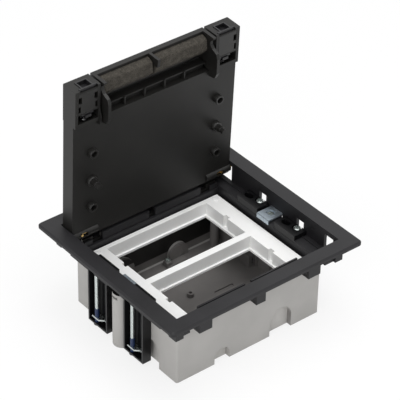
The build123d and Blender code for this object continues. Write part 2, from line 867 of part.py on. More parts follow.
def lid_tray():
    """Lid moulding: inlay recess and ribs outside, bosses, posts, barrels and latch housings inside."""
    x = lid_width / 2
    low = -lid_foot
    lid = block(-x, x, low, lid_top, 0, lid_thick)
    foot_edge = lid.edges().filter_by(Axis.X).group_by(Axis.Y)[0].sort_by(Axis.Z)[0]
    lid = fillet(foot_edge, lid_foot_round)
    lid = fillet(lid.edges().filter_by(Axis.Z), lid_corner)
    recess = block(-x + lid_rim, x - lid_rim, low + lid_rim, inlay_end, -1, lid_thick - lid_web)
    floor_ribs = lid_ribs()
    lid = lid - recess + floor_ribs
    barrel_root = hinge_barrel()
    lid += barrel_root + mirror_x(barrel_root)
    housing = latch_block()
    lid += housing + mirror_x(housing)
    lid -= block(-block_inner, block_inner, tray_foot, lid_top + 1, tray_floor, lid_thick + 1)
    lid -= block(-block_inner, block_inner, tray_top, lid_top + 1, -1, lid_thick + 1)
    for side in (-1, 1):
        lid -= block(side * tray_half_width, side * block_inner, tray_foot, tray_top + 1,
                     flap_plate, lid_thick + 1)
        lid -= rod_x(side * (block_inner - 1), side * (flap_pin_reach + head_gap), flap_hinge_s, flap_hinge_t,
                     flap_pin_radius + running_gap)
    lid += block(-tray_half_width, tray_half_width, tray_top - tray_edge, tray_top, tray_floor, tray_lip)
    for offset in tray_rib_x:
        for side in (-1, 1):
            lid += block(side * offset - tray_rib_thick / 2, side * offset + tray_rib_thick / 2,
                         tray_foot - tray_rib_root, tray_top, tray_floor - tray_rib_root, tray_rib_high)
    cut = hinge_bore() + latch_pocket()
    lid -= cut + mirror_x(cut)
    for side in (-1, 1):
        for s in boss_rows:
            lid += rod(side * boss_x, s, lid_thick - 1, lid_thick + boss_high, boss_outer)
            lid -= rod(side * boss_x, s, lid_thick + 0.5, lid_thick + boss_high + 1, boss_bore)
        lid += rod(side * boss_x, post_row, lid_thick - 1, lid_thick + post_base_high, post_base_radius)
        lid += rod(side * boss_x, post_row, lid_thick, carrier_top - post_gap, post_radius)
    return on_lid(lid)


def lid_stiffener():
    """Steel sheet that lies on the ribs in the lid's recess, under the floor covering."""
    x = lid_width / 2 - lid_rim - stiffener_gap
    sheet = block(-x, x, -lid_foot + lid_rim + stiffener_gap, inlay_end - stiffener_gap,
                  inlay_deep, inlay_deep + stiffener_thick)
    return on_lid(fillet(sheet.edges().filter_by(Axis.Z), stiffener_corner))


def latch_cover(inner_row):
    """Cover plate of the right-hand latch, notched for its snap hooks."""
    cover = block(cover_inner + cover_gap, cover_outer - cover_gap,
                  cover_foot + cover_gap, cover_top - cover_gap, block_thick - cover_thick, block_thick)
    return cover - cover_slots(1, inner_row)


def latch_bolt():
    """Right-hand bolt: a hollow square head, a shank and a finger tongue in the lower window."""
    x0, x1 = latch_inner + latch_gap, latch_outer - latch_gap
    t0, t1 = latch_back + latch_gap, latch_front - latch_gap
    tip = lid_top + latch_proud
    bolt = block(x0, x1, latch_tail_end, tip, t0, t1)
    bolt += block(latch_lip_inner, latch_lip_outer, tip - latch_lip_high, tip, latch_lip_back, t1)
    bolt -= block(x0 + latch_wall, x1 - latch_wall, tip - latch_mouth, tip + 1,
                  t0 + latch_wall, t1 - latch_wall)
    middle = (x0 + x1) / 2
    return bolt + block(middle - latch_tongue_half, middle + latch_tongue_half,
                        latch_tail_end - latch_tongue_reach, latch_tail_end + latch_tongue_root,
                        t0 + latch_tongue_t, block_thick - latch_tongue_low)


def coil(radius, length, turns):
    """Helical spring along Z with square wire."""
    path = Helix(pitch=(length - spring_wire) / turns, height=length - spring_wire, radius=radius)
    section = Plane(origin=path @ 0, z_dir=path % 0) * Rectangle(spring_wire, spring_wire)
    return Pos(0, 0, spring_wire / 2) * sweep(section, path=path)


def latch_spring():
    """Right-hand latch spring behind the bolt's tongue."""
    middle_x = (latch_inner + latch_outer) / 2
    middle_t = (latch_back + latch_front) / 2
    spring = Rot(-90, 0, 0) * coil(latch_spring_radius, latch_spring_length, spring_turns)
    return Pos(middle_x, channel_foot + spring_gap, middle_t) * spring


def hinge_pin():
    """Right-hand pin with a stem for its spring and a nub to draw it back."""
    pin = rod_x(pin_shoulder, pin_tip, barrel_s, barrel_t, pin_radius)
    pin = chamfer(pin.edges().filter_by(GeomType.CIRCLE).sort_by(Axis.X)[-1], pin_edge)
    stem_end = barrel_inner + barrel_end_wall + pin_travel + clearance
    stem = rod_x(stem_end, pin_shoulder, barrel_s, barrel_t, pin_stem_radius)
    nub = rod(barrel_slot[1] - pin_nub_inset, barrel_s, barrel_t, barrel_t + barrel_radius - pin_nub_low,
              pin_nub_radius)
    return pin + stem + nub


def hinge_spring():
    """Right-hand pin spring round the pin's stem."""
    length = pin_shoulder - barrel_inner - barrel_end_wall - pin_travel - clearance - spring_gap
    spring = Rot(0, -90, 0) * coil(hinge_spring_radius, length, spring_turns)
    return Pos(pin_shoulder, barrel_s, barrel_t) * spring


def up_flap(share):
    """Place on the lid at this share of the way from the flap's hinge to the lid's top."""
    return flap_hinge_s + share * (lid_top - flap_hinge_s)


def flap_arm():
    """Right-hand side cheek of the cable flap: a head, a waist and a foot over the tray."""
    head, waist = 0.75 * flap_arm_max, 0.6 * flap_arm_max
    over_lid = lid_thick + clearance
    profile = Polyline((lid_top, 0.0), (lid_top, head), (up_flap(0.95), head), (up_flap(0.8), waist),
                       (up_flap(0.68), waist), (up_flap(0.57), 0.71 * flap_arm_max),
                       (up_flap(0.47), 0.93 * flap_arm_max), (up_flap(0.3), flap_arm_max),
                       (tray_foot + 2.4, flap_arm_max), (tray_foot - 3.0, 0.9 * flap_arm_max),
                       (tray_foot - 4.6, waist), (tray_foot - 4.6, over_lid), (tray_foot + 0.8, over_lid),
                       (tray_foot + 2.9, 0.24 * flap_arm_max), (tray_top + 0.6, flap_plate + 0.6),
                       (flap_hinge_s, 0.0), close=True)
    sheet = extrude(Plane.YZ * make_face(profile), amount=flap_arm_thick)
    arm = Pos(flap_arm_x - flap_arm_thick / 2, 0, 0) * sheet
    arm += rod_x(flap_arm_x - flap_arm_thick / 2, flap_pin_reach, flap_hinge_s, flap_hinge_t, flap_pin_radius)
    return arm


def cable_flap():
    """Flap over the cable outlet: plate, knuckle, top bar, two cheeks and a hooked middle rib."""
    x = flap_arm_x + flap_arm_thick / 2
    flap = block(-x, x, flap_hinge_s, lid_top, 0, flap_plate)
    flap += rod_x(-x, x, flap_hinge_s, flap_hinge_t, flap_hinge_t)
    flap += block(-x, x, lid_top - flap_bar_high, lid_top, 0, flap_bar)
    flap += flap_arm() + mirror_x(flap_arm())
    hook = Polyline((lid_top, 0.5), (lid_top, hook_reach), (up_flap(0.94), hook_reach),
                    (up_flap(0.7), 0.96 * hook_reach), (up_flap(0.68), 0.81 * hook_reach),
                    (up_flap(0.75), 0.67 * hook_reach), (up_flap(0.75), 0.5), close=True)
    rib = extrude(Plane.YZ * make_face(hook), amount=flap_rib_thick)
    flap += Pos(flap_rib_x - flap_rib_thick / 2, 0, 0) * rib
    return on_lid(flap)


def foam_piece(x0, x1):
    """One length of the foam that seals round the cables."""
    top = lid_top - flap_bar_high - foam_gap
    section = Polyline((top, flap_plate), (top, foam_back), (up_flap(0.815), foam_shoulder),
                       (up_flap(0.413), foam_face), (up_flap(0.16), foam_back), (up_flap(0.12), flap_plate),
                       close=True)
    body = extrude(Plane.YZ * make_face(section), amount=x1 - x0)
    return on_lid(Pos(x0, 0, 0) * body)


def save(name, shape):
    """Write one node to its own file."""
    export_step(shape, f"parts/{name}.step")


def save_pair(name, right, left=None):
    """Write a piece of the lid at its right place and, mirrored, at its left place."""
    save(f"{name}_right", on_lid(right))
    save(f"{name}_left", on_lid(mirror_x(left or right)))


def save_towers():
    """Write the four towers with their screws and claws."""
    pieces = {"claw_tower": claw_tower(), "claw_screw": claw_screw(), "claw_plate": claw_plate()}
    for row, y in zip(("back", "front"), tower_centres(1)):
        other = "front" if row == "back" else "back"
        for name, shape in pieces.items():
            placed = Pos(0, y, 0) * shape
            save(f"{name}_right_{row}", placed)
            save(f"{name}_left_{other}", turned(placed))


def main():
    """Write every piece of the floor socket box."""
    os.makedirs("parts", exist_ok=True)
    save("bezel_frame", bezel_frame())
    save("back_box", back_box())
    save("module_carrier", module_carrier())
    save_towers()
    save("clamp_clip_right", clamp_clip())
    save("clamp_clip_left", turned(clamp_clip()))
    save("clip_screws", Compound([clip_screw(), turned(clip_screw())]))
    save("clip_nuts", Compound([clip_nut(), turned(clip_nut())]))
    save("cable_clamp", cable_clamp())
    save("cable_clamp_screw", clamp_screw())
    save("lid_tray", lid_tray())
    save("lid_stiffener", lid_stiffener())
    save("cable_flap", cable_flap())
    foam_x = flap_arm_x - flap_arm_thick / 2 - cheek_clear
    rib_half = flap_rib_thick / 2 + foam_gap
    save("foam_strip_right", foam_piece(flap_rib_x + rib_half, foam_x))
    save("foam_strip_left", foam_piece(-foam_x, flap_rib_x - rib_half))
    save_pair("latch_cover", latch_cover(False), latch_cover(True))
    save_pair("latch_bolt", latch_bolt())
    save_pair("latch_spring", latch_spring())
    save_pair("hinge_pin", hinge_pin())
    save_pair("hinge_spring", hinge_spring())


if __name__ == "__main__":
    main()
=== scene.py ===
"""Floor socket box with its lid standing open: finishes, foam, screw threads and a studio."""
import math

import bmesh
import bpy
import numpy as np
from bpy.props import FloatProperty, FloatVectorProperty, IntProperty, PointerProperty
from mathutils import Matrix, Vector


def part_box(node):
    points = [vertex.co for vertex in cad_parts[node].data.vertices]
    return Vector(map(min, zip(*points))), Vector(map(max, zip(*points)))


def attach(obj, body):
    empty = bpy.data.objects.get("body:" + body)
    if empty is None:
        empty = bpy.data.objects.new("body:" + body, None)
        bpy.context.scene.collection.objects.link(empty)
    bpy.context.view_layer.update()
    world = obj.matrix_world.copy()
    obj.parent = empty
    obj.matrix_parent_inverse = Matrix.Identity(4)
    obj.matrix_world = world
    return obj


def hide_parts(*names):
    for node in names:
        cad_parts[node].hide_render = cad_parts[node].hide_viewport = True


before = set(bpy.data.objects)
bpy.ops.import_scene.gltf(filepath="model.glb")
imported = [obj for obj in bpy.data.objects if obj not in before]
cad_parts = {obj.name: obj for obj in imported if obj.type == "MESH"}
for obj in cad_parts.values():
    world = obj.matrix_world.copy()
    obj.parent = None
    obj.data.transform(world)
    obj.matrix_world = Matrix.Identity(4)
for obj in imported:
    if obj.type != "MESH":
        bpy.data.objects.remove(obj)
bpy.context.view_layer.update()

bl_info = {
    "name": "Floor socket box",
    "version": (1, 0, 0),
    "blender": (4, 5, 0),
    "location": "3D View > Sidebar > Floor box",
    "description": "Dresses a floor socket box with finishes, foam and threads, and sets up its studio",
    "category": "Object",
}

MM = 0.001
WHITE = (1.0, 1.0, 1.0, 1.0)
CORNERS = ("right_back", "right_front", "left_back", "left_front")
SIDES = ("right", "left")

# Studio, in metres
KEY_PLACE, KEY_SIZE = Vector((-1.8, -1.0, 1.3)), 1.3
TOP_PLACE, TOP_SIZE = Vector((0.2, -0.1, 2.0)), 1.6
FLOOR_REACH = 4.0
FLOOR_HEIGHT = -0.0002
FLOOR_LINES = 9


# Properties: the sizes and colours that a user would change

def colour_property(name, description, default):
    """A colour swatch whose default is given in linear light."""
    return FloatVectorProperty(name=name, description=description, default=default, size=3,
                               subtype="COLOR", min=0.0, max=1.0)


def length_property(name, description, millimetres):
    """A length whose default is given in millimetres."""
    return FloatProperty(name=name, description=description, default=millimetres * MM, min=0.0,
                         precision=5, subtype="DISTANCE", unit="LENGTH")


def offset_property(name, place, millimetres):
    """A distance from the part's middle plane to a place."""
    return length_property(name, f"From the middle to {place}", millimetres)


def angle_property(name, description, degrees):
    """An angle whose default is given in degrees."""
    return FloatProperty(name=name, description=description, default=math.radians(degrees),
                         subtype="ANGLE", unit="ROTATION")


class FloorBoxColours(bpy.types.PropertyGroup):
    """Colours of the box's plastics, metals and foam."""

    bezel: colour_property("Bezel", "Dark grey moulding of the flange and collar",
                           (0.0113, 0.0109, 0.0124))
    lid: colour_property("Lid", "Near-black moulding of the lid and the cable flap",
                         (0.0092, 0.0088, 0.0080))
    box: colour_property("Back box", "Light grey moulding of the mounting box", (0.420, 0.410, 0.395))
    # Painted shade: the box's inner faces and the cable clamp get this darker grey in place of the shade
    # inside the box
    inside: colour_property("Box inside", "Darker grey of the mounting box's inner faces",
                            (0.155, 0.147, 0.142))
    # This black is also painted shade on the box's top band, inside its outer skin
    lining: colour_property("Lining", "Black of the walls' upper part inside the box", (0.006, 0.0055, 0.005))
    carrier: colour_property("Carrier", "White moulding that holds the modules", (0.93, 0.93, 0.92))
    tower: colour_property("Towers", "Glossy black moulding of the claw towers", (0.0042, 0.0042, 0.0048))
    zinc: colour_property("Zinc", "Bright zinc plating of screws, claws and clips", (0.60, 0.645, 0.63))
    clip: colour_property("Clips", "Bluish zinc plating of the clamp clips", (0.48, 0.55, 0.61))
    patch: colour_property("Locking patch", "Blue thread-locking patch on the claw screws",
                           (0.0055, 0.021, 0.078))
    brass: colour_property("Brass", "Turned hinge pins", (0.93, 0.66, 0.27))
    spring: colour_property("Spring wire", "Drawn wire of the springs", (0.45, 0.45, 0.46))
    foam: colour_property("Foam", "Open-celled sealing foam", (0.062, 0.056, 0.047))


class FloorBoxSizes(bpy.types.PropertyGroup):
    """Sizes of the details that the finishes and the new pieces add."""

    edge_radius: length_property("Edge radius", "Rounding that the mouldings' edges show", 0.12)
    metal_edge: length_property("Metal edge", "Rounding that the metal parts' edges show", 0.08)
    grain: length_property("Grain", "Spacing of the mouldings' eroded texture", 0.55)
    drift: length_property("Drift", "Spacing of the mouldings' colour drift", 28.0)
    box_drift: length_property("Box drift", "Spacing of the box's colour drift", 35.0)
    cloud: length_property("Cloud", "Spacing of the dull spots in the plating", 1.6)
    scratch: length_property("Scratch", "Spacing of the plating's fine marks", 0.25)
    ring: length_property("Ring", "Spacing of the turned brass's rings", 0.9)
    tarnish: length_property("Tarnish", "Spacing of the brass's tarnished spots", 2.5)
    metal_relief: length_property("Metal relief", "Depth of the marks on plating and brass", 0.004)
    foam_cell: length_property("Foam cell", "Size of the foam's cells", 0.7)
    foam_mottle: length_property("Foam mottle", "Spacing of the foam's pale and dark areas", 3.5)
    foam_relief: length_property("Foam relief", "Depth of the foam's pores", 0.35)
    foam_round: length_property("Foam rounding", "Rounding of the foam's long edges", 1.0)
    foam_end: length_property("Foam end", "Length over which the foam's ends draw in", 0.8)
    thread_pitch: length_property("Thread pitch", "Pitch of the claw screws", 0.8)
    thread_crest: length_property("Thread crest", "Radius of the claw screws over the thread", 1.82)
    thread_root: length_property("Thread root", "Radius at the thread's root", 1.7)
    thread_sink: length_property("Thread sink", "How far the thread reaches into the shank", 0.15)
    thread_foot: length_property("Thread foot", "From the screw's foot to its thread", 0.6)
    thread_head: length_property("Thread head", "From the thread to the top of the screw's head", 9.0)
    thread_steps: IntProperty(name="Thread steps", description="Points for each turn of the thread",
                              default=20, min=8, max=64)
    patch_length: length_property("Patch length", "Length of the blue patch from the screw's foot", 15.8)
    patch_rag: length_property("Patch rag", "How far the patch's upper edge wanders", 1.2)
    well_depth: length_property("Well depth", "From the carrier's top to the ledge in its wells", 12.3)
    well_ledge: length_property("Well ledge", "Width of the ledge in the carrier's wells", 1.7)
    well_edge: length_property("Well edge", "Thickness of the ledge in the carrier's wells", 2.4)
    well_wall: length_property("Well wall", "Thickness of the wells' walls", 2.0)
    well_half_length: length_property("Well half length", "Half of a well's length", 54.4)
    well_half_width: length_property("Well half width", "Half of a well's width", 26.95)
    well_offset: length_property("Well offset", "From the carrier's middle to a well's middle", 30.3)
    groove_depth: length_property("Groove depth", "Depth of the groove in each well's ends", 2.6)
    groove_half_width: length_property("Groove half width", "Half of a groove's width", 2.7)
    groove_wall: length_property("Groove wall", "Thickness of the wall round a groove", 1.5)
    plate: length_property("Carrier plate", "Thickness of the carrier's top plate", 2.5)
    plate_round: length_property("Carrier rounding", "Rounding of the carrier's edges", 0.3)
    button_rise: length_property("Button rise", "Height of the buttons over the carrier's plate", 0.8)
    button_across: offset_property("Button across", "a button, across", 64.0)
    button_along: offset_property("Button along", "a button, front to back", 56.6)
    boss_across: length_property("Boss across", "From the lid's middle to its bosses", 66.5)
    mask_skin: length_property("Mask skin", "Half of the step between two of the box's colours", 0.3)
    inner_side: offset_property("Inner side", "the box's inner side walls", 75.2)
    inner_front: offset_property("Inner front", "the knock-outs' panels in front", 64.0)
    inner_back: offset_property("Inner back", "the box's inner back wall", 65.2)
    # outer_side and outer_front bound the recessed knock-out panels that get painted light
    outer_side: offset_property("Outer side", "just inside the side walls' skin", 76.8)
    outer_front: offset_property("Outer front", "just inside the front's skin", 67.0)
    post_side: offset_property("Post side", "past the corner posts, across", 70.0)
    post_front: offset_property("Post front", "past the posts, to the front", 62.3)
    lining_foot: length_property("Lining foot", "Height of the black lining's lower edge", 19.0)
    lining_foot_back: length_property("Lining foot behind", "Height of its edge on the back wall", 9.5)
    lining_back: offset_property("Lining back", "just before the back wall", 64.6)
    # Above this height the box's top band is painted black as painted shade
    rim_shade_height: length_property("Rim height", "From the box's foot to the black of its rim", 54.5)


class FloorBoxStudio(bpy.types.PropertyGroup):
    """Camera, floor and lamps."""

    azimuth: angle_property("Azimuth", "Camera's turn round the box from straight in front", -39.336)
    elevation: angle_property("Elevation", "Camera's height above the horizon", 36.111)
    roll: angle_property("Roll", "Camera's turn about its own line of sight", 1.116)
    distance: length_property("Distance", "From the camera to the point it looks at", 1874.28)
    lens: FloatProperty(name="Lens", description="Focal length on a 36 mm sensor", default=196.34,
                        subtype="DISTANCE_CAMERA", unit="CAMERA")
    aim: FloatVectorProperty(name="Aim", description="Point that the camera looks at", size=3,
                             default=(0.028924, 0.035251, 0.0804), subtype="TRANSLATION", unit="LENGTH")
    floor: colour_property("Floor", "Pale floor", (0.92, 0.92, 0.92))
    whitening: FloatProperty(name="Whitening", default=0.8, min=0.0, max=1.0, subtype="FACTOR",
                             description="Share of plain white that the eye sees in the floor")
    world: FloatProperty(name="Surroundings", description="Light from all round", default=0.52, min=0.0)
    key: FloatProperty(name="Key lamp", description="Power of the lamp at the front left", default=17.0,
                       min=0.0, subtype="POWER", unit="POWER")
    top: FloatProperty(name="Top lamp", description="Power of the lamp overhead", default=25.0,
                       min=0.0, subtype="POWER", unit="POWER")


# Shader maths

EDGE_SAMPLES = 6
EDGE_STEP = (0.01, 0.25)


class Wire:
    """A node's output. Arithmetic on it adds Math nodes, and numbers may stand on either side."""

    def __init__(self, tree, socket):
        self.tree = tree
        self.socket = socket

    def __add__(self, other):
        return self.tree.math("ADD", self, other)

    __radd__ = __add__

    def __sub__(self, other):
        return self.tree.math("SUBTRACT", self, other)

    def __rsub__(self, other):
        return self.tree.math("SUBTRACT", other, self)

    def __mul__(self, other):
        return self.tree.math("MULTIPLY", self, other)

    __rmul__ = __mul__


class Tree:
    """A node tree that is built by calls, for a material or for the world."""

    def __init__(self, owner):
        owner.use_nodes = True
        self.nodes = owner.node_tree.nodes
        self.links = owner.node_tree.links
        self.nodes.clear()

    def node(self, kind, settings=None, inputs=None, output=0):
        """Adds a node, sets it up, feeds its sockets with values or wires, and gives one output."""
        made = self.nodes.new(kind)
        for name, value in (settings or {}).items():
            setattr(made, name, value)
        for name, value in (inputs or {}).items():
            if isinstance(value, Wire):
                self.links.new(value.socket, made.inputs[name])
            else:
                made.inputs[name].default_value = value
        return Wire(self, made.outputs[output] if made.outputs else None)

    def math(self, operation, first, second=0.0):
        """A Math node's value; a size needs only the first."""
        return self.node("ShaderNodeMath", {"operation": operation}, {0: first, 1: second})

    def place(self):
        """Object coordinates, in metres."""
        return self.node("ShaderNodeTexCoord", output="Object")

    def axis(self, name):
        """One coordinate of the surface point: X, Y or Z."""
        return self.node("ShaderNodeSeparateXYZ", inputs={0: self.place()}, output=name)

    def facing(self, name):
        """One component of the object's own surface normal: X, Y or Z."""
        normal = self.node("ShaderNodeTexCoord", output="Normal")
        return self.node("ShaderNodeSeparateXYZ", inputs={0: normal}, output=name)

    def larger(self, first, second):
        """The larger of two values."""
        return self.math("MAXIMUM", first, second)

    def size(self, value):
        """A value without its sign."""
        return self.math("ABSOLUTE", value)

    def noise(self, spacing, detail=2.0, roughness=0.5):
        """Smooth noise whose bumps lie about this far apart, from 0 to 1."""
        return self.node("ShaderNodeTexNoise",
                         inputs={"Vector": self.place(), "Scale": 1.0 / spacing, "Detail": detail,
                                 "Roughness": roughness}, output="Fac")

    def cells(self, spacing):
        """Distance to the nearest cell centre of a cell pattern."""
        return self.node("ShaderNodeTexVoronoi", inputs={"Vector": self.place(), "Scale": 1.0 / spacing},
                         output="Distance")

    def span(self, value, low, high):
        """From 0 where a value is low to 1 where it is high, smoothly, and held past both."""
        return self.node("ShaderNodeMapRange", {"interpolation_type": "SMOOTHSTEP"},
                         {"Value": value, "From Min": low, "From Max": high})

    def past(self, value, limit, softness):
        """1 where a value is over a limit, 0 where it is under it, and a soft step between."""
        return self.span(value, limit - softness, limit + softness)

    def within(self, value, limit, softness):
        """1 where a value is under a limit, 0 where it is over it, and a soft step between."""
        return self.span(value, limit + softness, limit - softness)

    def blend(self, factor, first, second):
        """A colour between two colours."""
        return self.node("ShaderNodeMix", {"data_type": "RGBA"},
                         {0: factor, 6: as_colour(first), 7: as_colour(second)}, output=2)

    def soft_edges(self, radius):
        """Surface normal rounded at the edges."""
        return self.node("ShaderNodeBevel", {"samples": EDGE_SAMPLES}, {"Radius": radius})

    def edge_mask(self, rounded):
        """From 0 on a flat face to 1 on an edge, by how far the rounded normal leaves the true one."""
        true = self.node("ShaderNodeNewGeometry", output="True Normal")
        likeness = self.node("ShaderNodeVectorMath", {"operation": "DOT_PRODUCT"}, {0: rounded, 1: true},
                             output="Value")
        return self.span(1.0 - likeness, *EDGE_STEP)

    def bump(self, height, depth, normal=None):
        """Normal of a relief whose height goes from 0 to 1 over this depth in metres."""
        inputs = {"Height": height, "Distance": depth}
        if normal:
            inputs["Normal"] = normal
        return self.node("ShaderNodeBump", inputs=inputs)


def as_colour(value):
    """A colour with its alpha, or the wire as it is."""
    return value if isinstance(value, Wire) else (*value, 1.0)


def scaled(colour, factor):
    """A colour made lighter or darker, at most white."""
    return tuple(min(1.0, part * factor) for part in colour)


def shaded(name, build, **constants):
    """A material whose changing inputs come from build(tree) and whose constants sit on the shader."""
    material = bpy.data.materials.new(name)
    tree = Tree(material)
    inputs = dict(constants)
    inputs.update(build(tree))
    shader = tree.node("ShaderNodeBsdfPrincipled", inputs=inputs, output="BSDF")
    tree.node("ShaderNodeOutputMaterial", inputs={"Surface": shader})
    return material


# Materials, one function for each finish

# Limit and softness: how far a face looks in or out, and when a face counts as turned away from an axis
LOOKING_IN = (45 * MM, 5 * MM)
LOOKING_OUT = (55 * MM, 5 * MM)
HALF_TURNED = (0.5, 0.1)
# Softness of the edge of the painted shade on the box's top band
RIM_SHADE_SOFTNESS = 0.5 * MM

# Levels of a texture between which one tone goes over into another
TONE_STEP = (0.3, 0.7)
DULL_STEP = (0.45, 0.75)
TARNISH_STEP = (0.4, 0.7)
PORE_STEP = (0.55, 0.18)

# A tone's brightness beside its colour's, and how much shows of the box's edge wear, of the mouldings'
# painted edge highlight and of a pore's painted shade
BOX_TONES = (0.95, 1.05)
INSIDE_TONES = (0.9, 1.1)
# Painted light: the recessed knock-out panels are made this much lighter than the box
PAINTED_PANEL_LIGHT_TONE = 1.25
BOX_WORN, INSIDE_WORN = 1.2, 1.35
DULL_TONE = 0.72
TARNISH_TONE = 0.6
FOAM_TONES = (0.78, 1.3)
# Painted shade in the foam's pores
PORE_SHADE_TONE = 0.25
# The first value is the share of the mouldings' painted edge highlight, the last the share of the foam pores'
# painted shade
MOULDING_HIGHLIGHT, BOX_WEAR, PORE_SHADE_SHARE = 0.8, 0.5, 0.75
BOX_RELIEF = 0.01 * MM
SMALL_CELL = 0.45

# Constant inputs that a finish may set on its shader
SATIN = {"Specular IOR Level": 0.35}
DIM = {"Specular IOR Level": 0.3}
MATT = {"Specular IOR Level": 0.2}
MILKY = {"Subsurface Weight": 0.05, "Subsurface Radius": (2 * MM, 2 * MM, 1.8 * MM)}


def moulding(name, colour, rough=0.5, grain_depth=0.012, highlight_lift=0.35, patina=0.18, **constants):
    """Moulded plastic: eroded grain, slow colour drift, smoother edges, and a painted highlight that makes
    the edges paler.

    patina is the share by which the colour drifts each way, and highlight_lift the share by which the painted
    highlight makes edges paler.
    """
    sizes = bpy.context.scene.floor_box_sizes

    def build(tree):
        rounded = tree.soft_edges(sizes.edge_radius)
        edges = tree.edge_mask(rounded)
        drift = tree.noise(sizes.drift, detail=3.0)
        fine = tree.noise(sizes.grain, detail=3.0, roughness=0.65)
        # Painted highlight: the edges are made paler
        paler_edge = tuple(min(1.0, part + 0.02 * highlight_lift) for part in scaled(colour, 1 + highlight_lift))
        tone = tree.blend(tree.span(drift, *TONE_STEP),
                          scaled(colour, 1 - patina), scaled(colour, 1 + patina))
        return {
            "Base Color": tree.blend(edges * MOULDING_HIGHLIGHT, tone, paler_edge),
            "Roughness": rough - 0.06 * edges + 0.10 * (fine - 0.5) + 0.06 * (drift - 0.5),
            "Normal": tree.bump(fine, grain_depth * MM, rounded),
        }

    return shaded(name, build, **constants)


def box_masks(tree, sizes, foot):
    """Masks of the box's inner faces, which get painted shade, of its recessed knock-out panels, which get
    painted light, and of the black: the walls' lining, and painted shade on the box's top band.

    Along x or y, a face's normal times its place is large where it looks out, and far below zero where it
    looks in. foot is the height of the underside.
    """
    x, y, z = (tree.axis(name) for name in "XYZ")
    facing_x, facing_y, facing_z = (tree.facing(name) for name in "XYZ")
    skin = sizes.mask_skin
    inward = tree.past(tree.larger(-1.0 * facing_x * x, -1.0 * facing_y * y), *LOOKING_IN)
    outward = tree.past(tree.larger(facing_x * x, facing_y * y), *LOOKING_OUT)
    by_wall = tree.larger(tree.past(tree.size(x), sizes.post_side, skin),
                          tree.past(tree.size(y), sizes.post_front, skin))
    shell = outward * by_wall

    cavity = (tree.within(tree.size(x), sizes.inner_side, skin) * tree.past(y, -sizes.inner_front, skin)
              * tree.within(y, sizes.inner_back, skin))
    # Inner faces, which get the painted shade of the darker inside colour
    inner = tree.larger(cavity, inward) * tree.past(z, foot + skin, skin / 2) * (1.0 - shell)
    # Painted light: the recessed knock-out panels in the outer walls
    painted_panel_light = (shell * tree.within(tree.size(x), sizes.outer_side, skin)
            * tree.within(tree.size(y), sizes.outer_front, skin))

    steep = tree.within(tree.size(facing_z), *HALF_TURNED)
    back_wall = tree.past(y, sizes.lining_back, skin) * tree.within(tree.size(facing_x), *HALF_TURNED)
    upper = tree.larger(tree.past(z, sizes.lining_foot, skin) * by_wall,
                        tree.past(z, sizes.lining_foot_back, skin) * back_wall) * steep * inner
    # Painted shade: the box's top band, inside its outer skin, is painted black
    painted_rim_shade = tree.past(z, foot + sizes.rim_shade_height, RIM_SHADE_SOFTNESS) * (1.0 - outward) * by_wall
    return inner, painted_panel_light, tree.larger(upper, painted_rim_shade)


def box_material(colours):
    """Light grey box with painted shade on its inner faces and painted light on its recessed knock-out
    panels, a black lining on its walls' upper part, and painted shade in black on its top band.
    """
    sizes = bpy.context.scene.floor_box_sizes
    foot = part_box("back_box")[0].z

    def build(tree):
        rounded = tree.soft_edges(sizes.edge_radius)
        edges = tree.edge_mask(rounded)
        inner, painted_panel_light, lining = box_masks(tree, sizes, foot)
        fine = tree.noise(sizes.grain, detail=3.0, roughness=0.6)
        tone = tree.span(tree.noise(sizes.box_drift, detail=3.0), *TONE_STEP)
        outer = tree.blend(tone, *(scaled(colours.box, level) for level in BOX_TONES))
        # Painted light on the recessed knock-out panels
        outer = tree.blend(painted_panel_light, outer, scaled(colours.box, PAINTED_PANEL_LIGHT_TONE))
        # Painted shade: the inner faces take the darker inside colour
        inside = tree.blend(tone, *(scaled(colours.inside, level) for level in INSIDE_TONES))
        paler_edge = tree.blend(inner, scaled(colours.box, BOX_WORN), scaled(colours.inside, INSIDE_WORN))
        grey = tree.blend(edges * BOX_WEAR, tree.blend(inner, outer, inside), paler_edge)
        return {
            # Black of the walls' lining, and painted shade in black on the box's top band
            "Base Color": tree.blend(lining, grey, colours.lining),
            "Roughness": 0.52 + 0.08 * (fine - 0.5) - 0.05 * edges,
            "Normal": tree.bump(fine, BOX_RELIEF, rounded),
        }

    return shaded("box_grey", build)


def plated(name, colour, rough=0.3, patch_top=None, patch_colour=None):
    """Zinc plating: cloudy roughness, fine scratches, dull spots, and a locking patch below patch_top."""
    sizes = bpy.context.scene.floor_box_sizes

    def build(tree):
        rounded = tree.soft_edges(sizes.metal_edge)
        cloud = tree.noise(sizes.cloud, detail=4.0, roughness=0.6)
        fine = tree.noise(sizes.scratch)
        dull = tree.span(cloud, *DULL_STEP)
        base = tree.blend(dull, colour, scaled(colour, DULL_TONE))
        metallic = 1.0 - 0.25 * dull
        roughness = rough + 0.22 * dull + 0.10 * (fine - 0.5)
        if patch_top is not None:
            ragged = patch_top + (cloud - 0.5) * sizes.patch_rag
            bare = tree.math("GREATER_THAN", tree.axis("Z"), ragged)
            base = tree.blend(bare, patch_colour, base)
            metallic = metallic * bare
            roughness = roughness * bare + 0.45 * (1.0 - bare)
        return {"Base Color": base, "Metallic": metallic, "Roughness": roughness,
                "Normal": tree.bump(fine, sizes.metal_relief, rounded)}

    return shaded(name, build)


